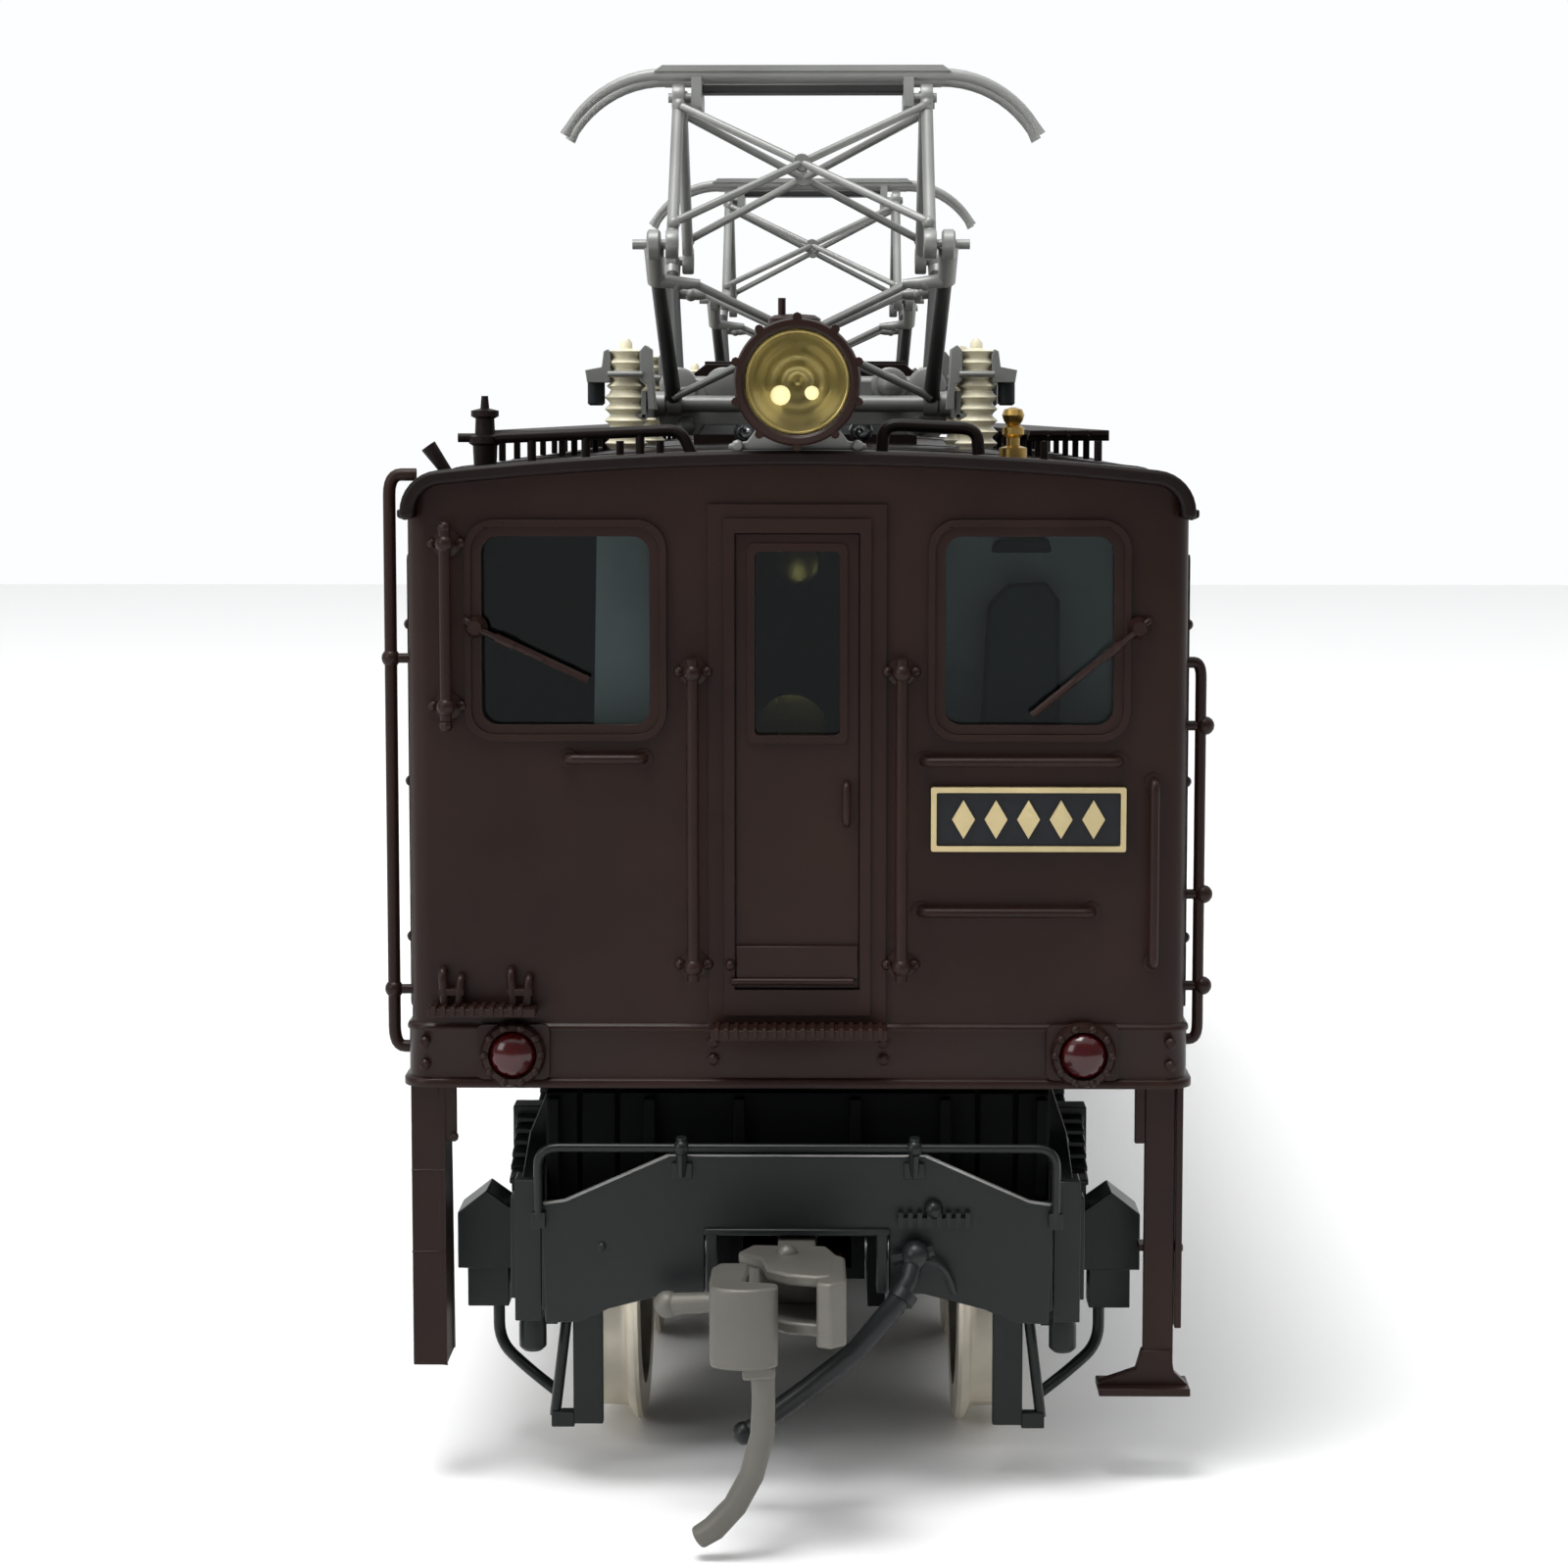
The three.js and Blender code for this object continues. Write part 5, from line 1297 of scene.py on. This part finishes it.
# ---- Wheels --------------------------------------------------------------------------------
# Turned tyres in bare nickel, coned and flanged, pressed on black spoked centres. A steel axle
# joins each pair, and the first and third axles carry a worm gear.
NICKEL = finish("turned_nickel", (0.70, 0.65, 0.54), 0.4, metallic=0.8, relief=0.002, grain=0.3)
for n, axle in zip((1, 2, 3), AXLES):
    radius = axle[2] - 0.7
    y, z = axle[1], axle[2]
    tyres, centres = [], []
    for i in (-1, 1):
        profile = np.array([
            (radius - 1.0, 7.3), (radius + 0.35, 7.27), (radius + 0.62, 7.35), (radius + 0.69, 7.55),
            (radius + 0.55, 7.8), (radius + 0.15, 7.98), (radius + 0.02, 8.25), (radius - 0.05, 9.9),
            (radius - 0.2, 10.03), (radius - 1.0, 10.03),
        ])
        turn = np.linspace(0, 2 * math.pi, 72, endpoint=False)
        points = np.column_stack((
            i * np.repeat(profile[:, 1], 72), y + (profile[:, :1] * np.cos(turn)).ravel(),
            z + (profile[:, :1] * np.sin(turn)).ravel(),
        ))
        tyres.append((points, quads(len(profile), 72, close_rows=True, close_columns=True)))
        count = 12 if n != 2 else 9
        hub, inner = 1.9, radius - 1.35
        holes = []
        for k in range(count):
            a0, a1 = (k + 0.17) * 2 * math.pi / count, (k + 0.83) * 2 * math.pi / count
            arc_out, arc_in = np.linspace(a0, a1, 6), np.linspace(a1 - 0.06, a0 + 0.06, 4)
            holes.append(np.concatenate((
                np.column_stack((inner * np.cos(arc_out), inner * np.sin(arc_out))),
                np.column_stack((hub * 1.15 * np.cos(arc_in), hub * 1.15 * np.sin(arc_in))),
            )) + (y, z))
        rim = np.column_stack(((radius - 0.98) * np.cos(turn) + y, (radius - 0.98) * np.sin(turn) + z))
        points, faces = cut_sheet(rim, holes, 8.0, 9.3)
        u, v, w = points.T
        centres.append((np.column_stack((i * w, u, v)), faces))
        centres.append(
            turned(
                [(hub, i * 7.6), (hub, i * 9.7), (1.0, i * 9.9), (0.6, i * 10.2), (0.6, i * 12)], "X",
                (0, y, z), 24
            )
        )
    axle_rod = [turned([(0.95, -7.7), (0.95, 7.7)], "X", (0, y, z), 24)]
    if n != 2:
        teeth = 12
        t = np.linspace(0, 2 * math.pi, teeth * 6, endpoint=False)
        r = 4.1 + 0.45 * np.clip(np.cos(t * teeth) * 1.6, -1, 1)
        axle_rod.append(prism(np.column_stack((y + r * np.cos(t), z + r * np.sin(t))), "X", -0.85, 0.85))
    at_both_ends(
        f"wheel_tyres_{n}", together(*tyres), NICKEL, "wheel_nickel", body=f"wheelset_{n}",
        stands_for=[f"wheelset_{n}"]
    )
    at_both_ends(
        f"wheel_centres_{n}", together(*centres), BLACK, "frame_black", body=f"wheelset_{n}", bevel=0.06
    )
    at_both_ends(f"wheel_axle_{n}", together(*axle_rod), STEEL, "motor_steel", body=f"wheelset_{n}")

# ---- Couplers ------------------------------------------------------------------------------
# A cast head on a shank, with a knuckle that opens on its left and a bent trip pin below it.
# The shank turns on a pin in the draw box, and two thin springs bring it back to the middle.
CAST = finish(
    "sintered_grey", (0.125, 0.120, 0.105), 0.45, metallic=0.35, mottle=0.2, relief=0.012, grain=0.18
)


def casting(outline, z0, z1):
    """A plan outline, measured from the bogie's pivot, carried upwards."""
    return prism([(x, y + PIVOT[1]) for x, y in outline], "Z", z0, z1)


flange = [
    (-1.9, -33.0), (-2.5, -34.4), (-1.5, -35.5), (-1.2, -37.6), (-0.3, -38.5), (0.9, -38.9), (1.8, -38.6),
    (2.1, -36.2), (1.3, -33.2)
]
head = [
    casting([(-0.9, -25.2), (-0.8, -33.2), (0.8, -33.2), (0.9, -25.2)], 10.3, 11.64),
    casting(flange, 11.5, 12.0), casting(flange, 9.4, 9.95),
    casting([(-1.9, -33.0), (-2.5, -34.4), (-1.5, -35.3), (1.5, -35.3), (1.3, -33.2)], 9.9, 11.55),
    casting(
        [
            (1.45, -34.6), (2.1, -35.6), (2.15, -40.0), (1.5, -40.6), (0.9, -40.3), (0.95, -39.5),
            (1.4, -39.2), (1.5, -36.0)
        ],
        9.3, 12.05
    ),
    turned([(1.38, 10.3), (1.38, 11.64)], "Z", (0, JOINT["front_coupler_swing"][1], 0), 24),
    ball((-0.4, PIVOT[1] - 34.6, 11.9), 0.5, 12),
    tube([(-2.2, PIVOT[1] - 33.9, 9.75), (-5.6, PIVOT[1] - 33.0, 9.35)], [0.4, 0.5], 12),
    ball((-5.6, PIVOT[1] - 33.0, 9.35), 0.6, 12),
]
at_both_ends(
    "coupler_casting", together(*head), CAST, "coupler_cast", body="coupler", stands_for=["coupler_head"],
    bevel=0.12
)
turn = np.linspace(math.radians(200), math.radians(340), 12)
nose = np.column_stack((-2.1 + 1.5 * np.cos(turn), -39.75 + 1.05 * np.sin(turn) + 0.0))
jaw = np.concatenate(
    (
        [(-2.0, -35.75), (-3.25, -35.8), (-3.55, -36.6), (-3.58, -39.0)], nose,
        [(-0.7, -39.5), (-2.1, -39.1), (-1.95, -37.2)]
    )
)
knuckle = [
    casting(jaw, 8.42, 11.85),
    tube(np.array([
        (-1.35, -39.6, 8.6), (-1.3, -39.65, 7.0), (-1.35, -39.65, 5.4), (-1.8, -39.6, 3.7),
        (-2.5, -39.5, 2.35),
                   (-3.4, -39.4, 1.35), (-4.1, -39.35, 0.9)]) + (0, PIVOT[1], 0), [0.5, 0.5, 0.52, 0.52,
                   0.52, 0.54, 0.5], 16),
    casting([(-2.2, -40.4), (-0.8, -40.2), (-0.8, -39.1), (-2.0, -39.1)], 7.9, 8.5),
]
at_both_ends(
    "coupler_jaw", together(*knuckle), CAST, "coupler_cast", body="knuckle",
    stands_for=["coupler_knuckle"], bevel=0.14
)
BRONZE = finish("bronze_spring", (0.55, 0.33, 0.16), 0.3, metallic=1.0)
centring = [
    coil((i * 1.0, PIVOT[1] - 30.5, 10.2), (i * 1.8, PIVOT[1] - 26.5, 10.2), 0.28, 0.08, 9)
    for i in (-1, 1)
]
at_both_ends("coupler_springs", together(*centring), BRONZE, "coupler_cast", body="coupler")

# ---- Steps ---------------------------------------------------------------------------------
# Under the left corner hangs a boxed ladder of folded sheet, and under the right a post on a
# flared foot, both soldered behind the sill and sprayed with the body.
STEP_Y = (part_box("front_ladder")[0][1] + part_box("front_ladder")[1][1]) / 2 / MM
ladder = [
    block(-17.15, -15.65, STEP_Y - 1.6, STEP_Y - 1.25, 5.5, 18.15),
    block(-15.95, -15.65, STEP_Y - 1.6, STEP_Y + 1.6, 5.5, 18.15),
    block(-17.15, -15.65, STEP_Y + 1.25, STEP_Y + 1.6, 5.5, 18.15),
    block(-15.7, -15.15, STEP_Y - 1.5, STEP_Y - 1.1, 15.7, 18.15),
    tube([(-15.25, STEP_Y - 1.75, 15.85), (-15.25, STEP_Y - 1.4, 15.85)], 0.2, 10),
    *[block(-17.17, -15.63, STEP_Y - 1.63, STEP_Y - 1.5, z, z + 0.1) for z in (10.6, 14.3)],
    *[tread(-17.15, -15.9, STEP_Y - 1.4, STEP_Y + 1.4, z, z + 0.3) for z in (5.7, 9.6, 13.5)],
]
at_both_ends("corner_ladder", together(*ladder), BROWN, "frame_black", stands_for=["ladder"], bevel=0.05)
POST_Y = (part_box("front_step_post")[0][1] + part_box("front_step_post")[1][1]) / 2 / MM
foot = [
    (13.5, 4.05), (17.58, 4.05), (17.58, 4.35), (16.9, 5.0), (16.75, 6.0), (15.45, 6.0), (15.2, 5.1),
    (13.5, 4.5)
]
post = [
    block(15.5, 16.85, POST_Y - 0.4, POST_Y, 5.4, 18.15),
    block(16.9, 17.2, POST_Y - 0.5, POST_Y + 1.1, 7.0, 18.15),
    prism(foot, "Y", POST_Y - 0.5, POST_Y + 0.2),
    block(13.5, 17.58, POST_Y - 1.2, POST_Y + 1.2, 4.05, 4.4),
    block(15.05, 15.5, POST_Y - 0.5, POST_Y - 0.1, 15.4, 18.15),
    block(15.3, 17.3, POST_Y + 0.0, POST_Y + 1.15, 10.4, 10.7),
]
at_both_ends("corner_post", together(*post), BROWN, "frame_black", stands_for=["step_post"], bevel=0.05)

# ---- Sides ---------------------------------------------------------------------------------
# Framed windows with clear panes, a door at each cab, banks of louvres and lines of rivets, all
# pressed from the sheet or soldered on it and painted with it.
for name, side in (("left", -1), ("right", 1)):
    frames, slats, doors = [], [], []
    for y, half in WINDOW_PLACES:
        low, high = SIDE_GLASS[0], SIDE_GLASS[1]
        outer = rounded_rectangle(y - half - 0.5, y + half + 0.5, low - 0.5, high + 0.5, 0.9)
        inner = rounded_rectangle(y - half, y + half, low, high, 0.5)
        frames.append(cut_sheet(outer, [inner], -0.18, 0.02))
        frames.append(
            cut_sheet(
                [(y - 0.12, low), (y + 0.12, low), (y + 0.12, high), (y - 0.12, high)], (), 0.1, 0.3
            )
        )
    for y in (-34.1, -11.4, 11.4, 34.1):
        frames.append(cut_sheet(rounded_rectangle(y - 4.6, y + 4.6, 23.6, 33.0, 0.3),
                                [rounded_rectangle(y - 4.1, y + 4.1, 24.1, 32.5, 0.2)], -0.22, 0.02))
        for z in np.linspace(24.5, 31.9, 13):
            lip = [
                (side * (HALF_WIDTH - 0.02), z), (side * (HALF_WIDTH + 0.26), z),
                (side * (HALF_WIDTH - 0.02), z + 0.42)
            ]
            slats.append(prism(lip, "Y", y - 4.0, y + 4.0))
    for y, half in DOOR_PLACES:
        opening = rounded_rectangle(y - half, y + half, SIDE_GLASS[0], SIDE_GLASS[1], 0.5)
        doors.append(cut_sheet(rounded_rectangle(y - 3.4, y + 3.4, 21.4, 41.6, 0.3),
                               [rounded_rectangle(y - 2.9, y + 2.9, 21.9, 41.1, 0.3)], -0.24, 0.02))
        doors.append(
            cut_sheet(rounded_rectangle(y - 2.8, y + 2.8, 22.0, 41.0, 0.2), [opening], -0.1, 0.02)
        )
        doors.append(cut_sheet(rounded_rectangle(y - 2.1, y + 2.1, 23.2, 31.6, 0.4),
                               [rounded_rectangle(y - 1.8, y + 1.8, 23.5, 31.3, 0.3)], -0.18, -0.05))
    made = piece(
        f"side_window_frames_{name}", on_side(together(*frames), side), BROWN, "body_brown", "body",
        bevel=0.05
    )
    piece(f"side_louvres_{name}", together(*slats), BROWN, "body_brown", "body", bevel=0.04)
    piece(f"cab_doors_{name}", on_side(together(*doors), side), BROWN, "body_brown", "body", bevel=0.05)
    hinges = [
        ball((side * (HALF_WIDTH + 0.18), y + math.copysign(3.0, y), z), 0.26, 8)
        for y, _ in DOOR_PLACES for z in (24.5, 31.5, 38.5)
    ]
    handles = [
        tube(
            [
                (side * (HALF_WIDTH + 0.4), y - math.copysign(2.4, y), 31.2),
                (side * (HALF_WIDTH + 0.4), y - math.copysign(1.2, y), 31.2)
            ],
            0.16, 8
        )
               for y, _ in DOOR_PLACES]
    dots = [(y, z) for y in np.arange(-62, 62.1, 1.55) for z in (21.9, 42.6)]
    dots += [
        (y, z)
        for y in (-62.7, -51.6, -28.4, -17.1, 17.1, 28.4, 51.6, 62.7) for z in np.arange(23, 42, 1.55)
    ]
    heads = [
        turned([(0.15, 0), (0.15, side * 0.06), (0.07, side * 0.13)], "X", (side * HALF_WIDTH, y, z), 6)
       
        for y, z in dots
    ]
    piece(f"side_rivets_{name}", together(*hinges, *handles, *heads), BROWN, "body_brown", "body")
    pane = [(-70.6, 33.3), (70.6, 33.3), (70.6, 42.4), (-70.6, 42.4)]
    piece(
        f"side_glazing_{name}", on_side(cut_sheet(pane, w0=SHEET + 0.05, w1=SHEET + 0.35), side), GLASS,
        "lens_glass", "body"
    )

# ---- Underneath and inside -----------------------------------------------------------------
# Gear boxes with lids and bolts hang under the floor beside the motor, which drives a worm
# over each outer axle through the shafts.
for name, side in (("left", -1), ("right", 1)):
    low, high = (np.array(corner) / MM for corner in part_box(f"equipment_box_{name}"))
    out = side * 15.4
    gear = [
        prism(
            [(side * 9.4, 9.8), (side * 14.6, 9.8), (out, 10.6), (out, high[2]), (side * 9.4, high[2])],
            "Y", -14, 14
        )
    ]
    for y in (-9.2, 0, 9.2):
        gear.append(block(out - side * 0.1, out + side * 0.25, y - 4.1, y + 4.1, 11.2, 18.0))
        gear += [
            turned([(0.35, 0), (0.35, side * 0.25)], "X", (out + side * 0.2, y + a, z), 6)
            for a in (-3.5, 3.5) for z in (11.8, 17.4)
        ]
        gear.append(tube([(out + side * 0.5, y - 1, 14.6), (out + side * 0.5, y + 1, 14.6)], 0.2, 8))
    made = piece(f"gear_box_{name}", together(*gear), BLACK, "frame_black", "body", bevel=0.07)
    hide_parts(f"equipment_box_{name}")
    pipes = [
        tube([(side * 14.2, y0, 17.6), (side * 14.2, y1, 17.6)], 0.35, 10)
        for y0, y1 in ((-24, -14), (14, 24))
    ]
    piece(f"floor_pipes_{name}", together(*pipes), BLACK, "frame_black", "body")

# A cross member under the floor at each end, in the blacker black. It also serves as a dark sheet that
# paints the shade under the body above the bogie.
member = [
    block(-13.0, 13.0, FACE + 8.0, FACE + 8.6, 16.7, 20.15),
    block(-13.0, 13.0, FACE + 7.0, FACE + 8.6, 19.5, 20.15),
    *[block(x - 0.2, x + 0.2, FACE + 7.2, FACE + 8.1, 17.0, 19.6) for x in (-11, -7.5, -4, 4, 7.5, 11)],
]
at_both_ends("underframe_member_shade_sheet", together(*member), UNDERSIDE_SHADE_BLACK, "frame_black", bevel=0.06)

for node, finish_for in (("floor_plate", BLACK), ("motor", STEEL), ("motor_shaft", STEEL),
                         ("front_worm_shaft", STEEL), ("rear_worm_shaft", STEEL)):
    for slot in frame["nodes"][node].material_slots:
        slot.material = finish_for
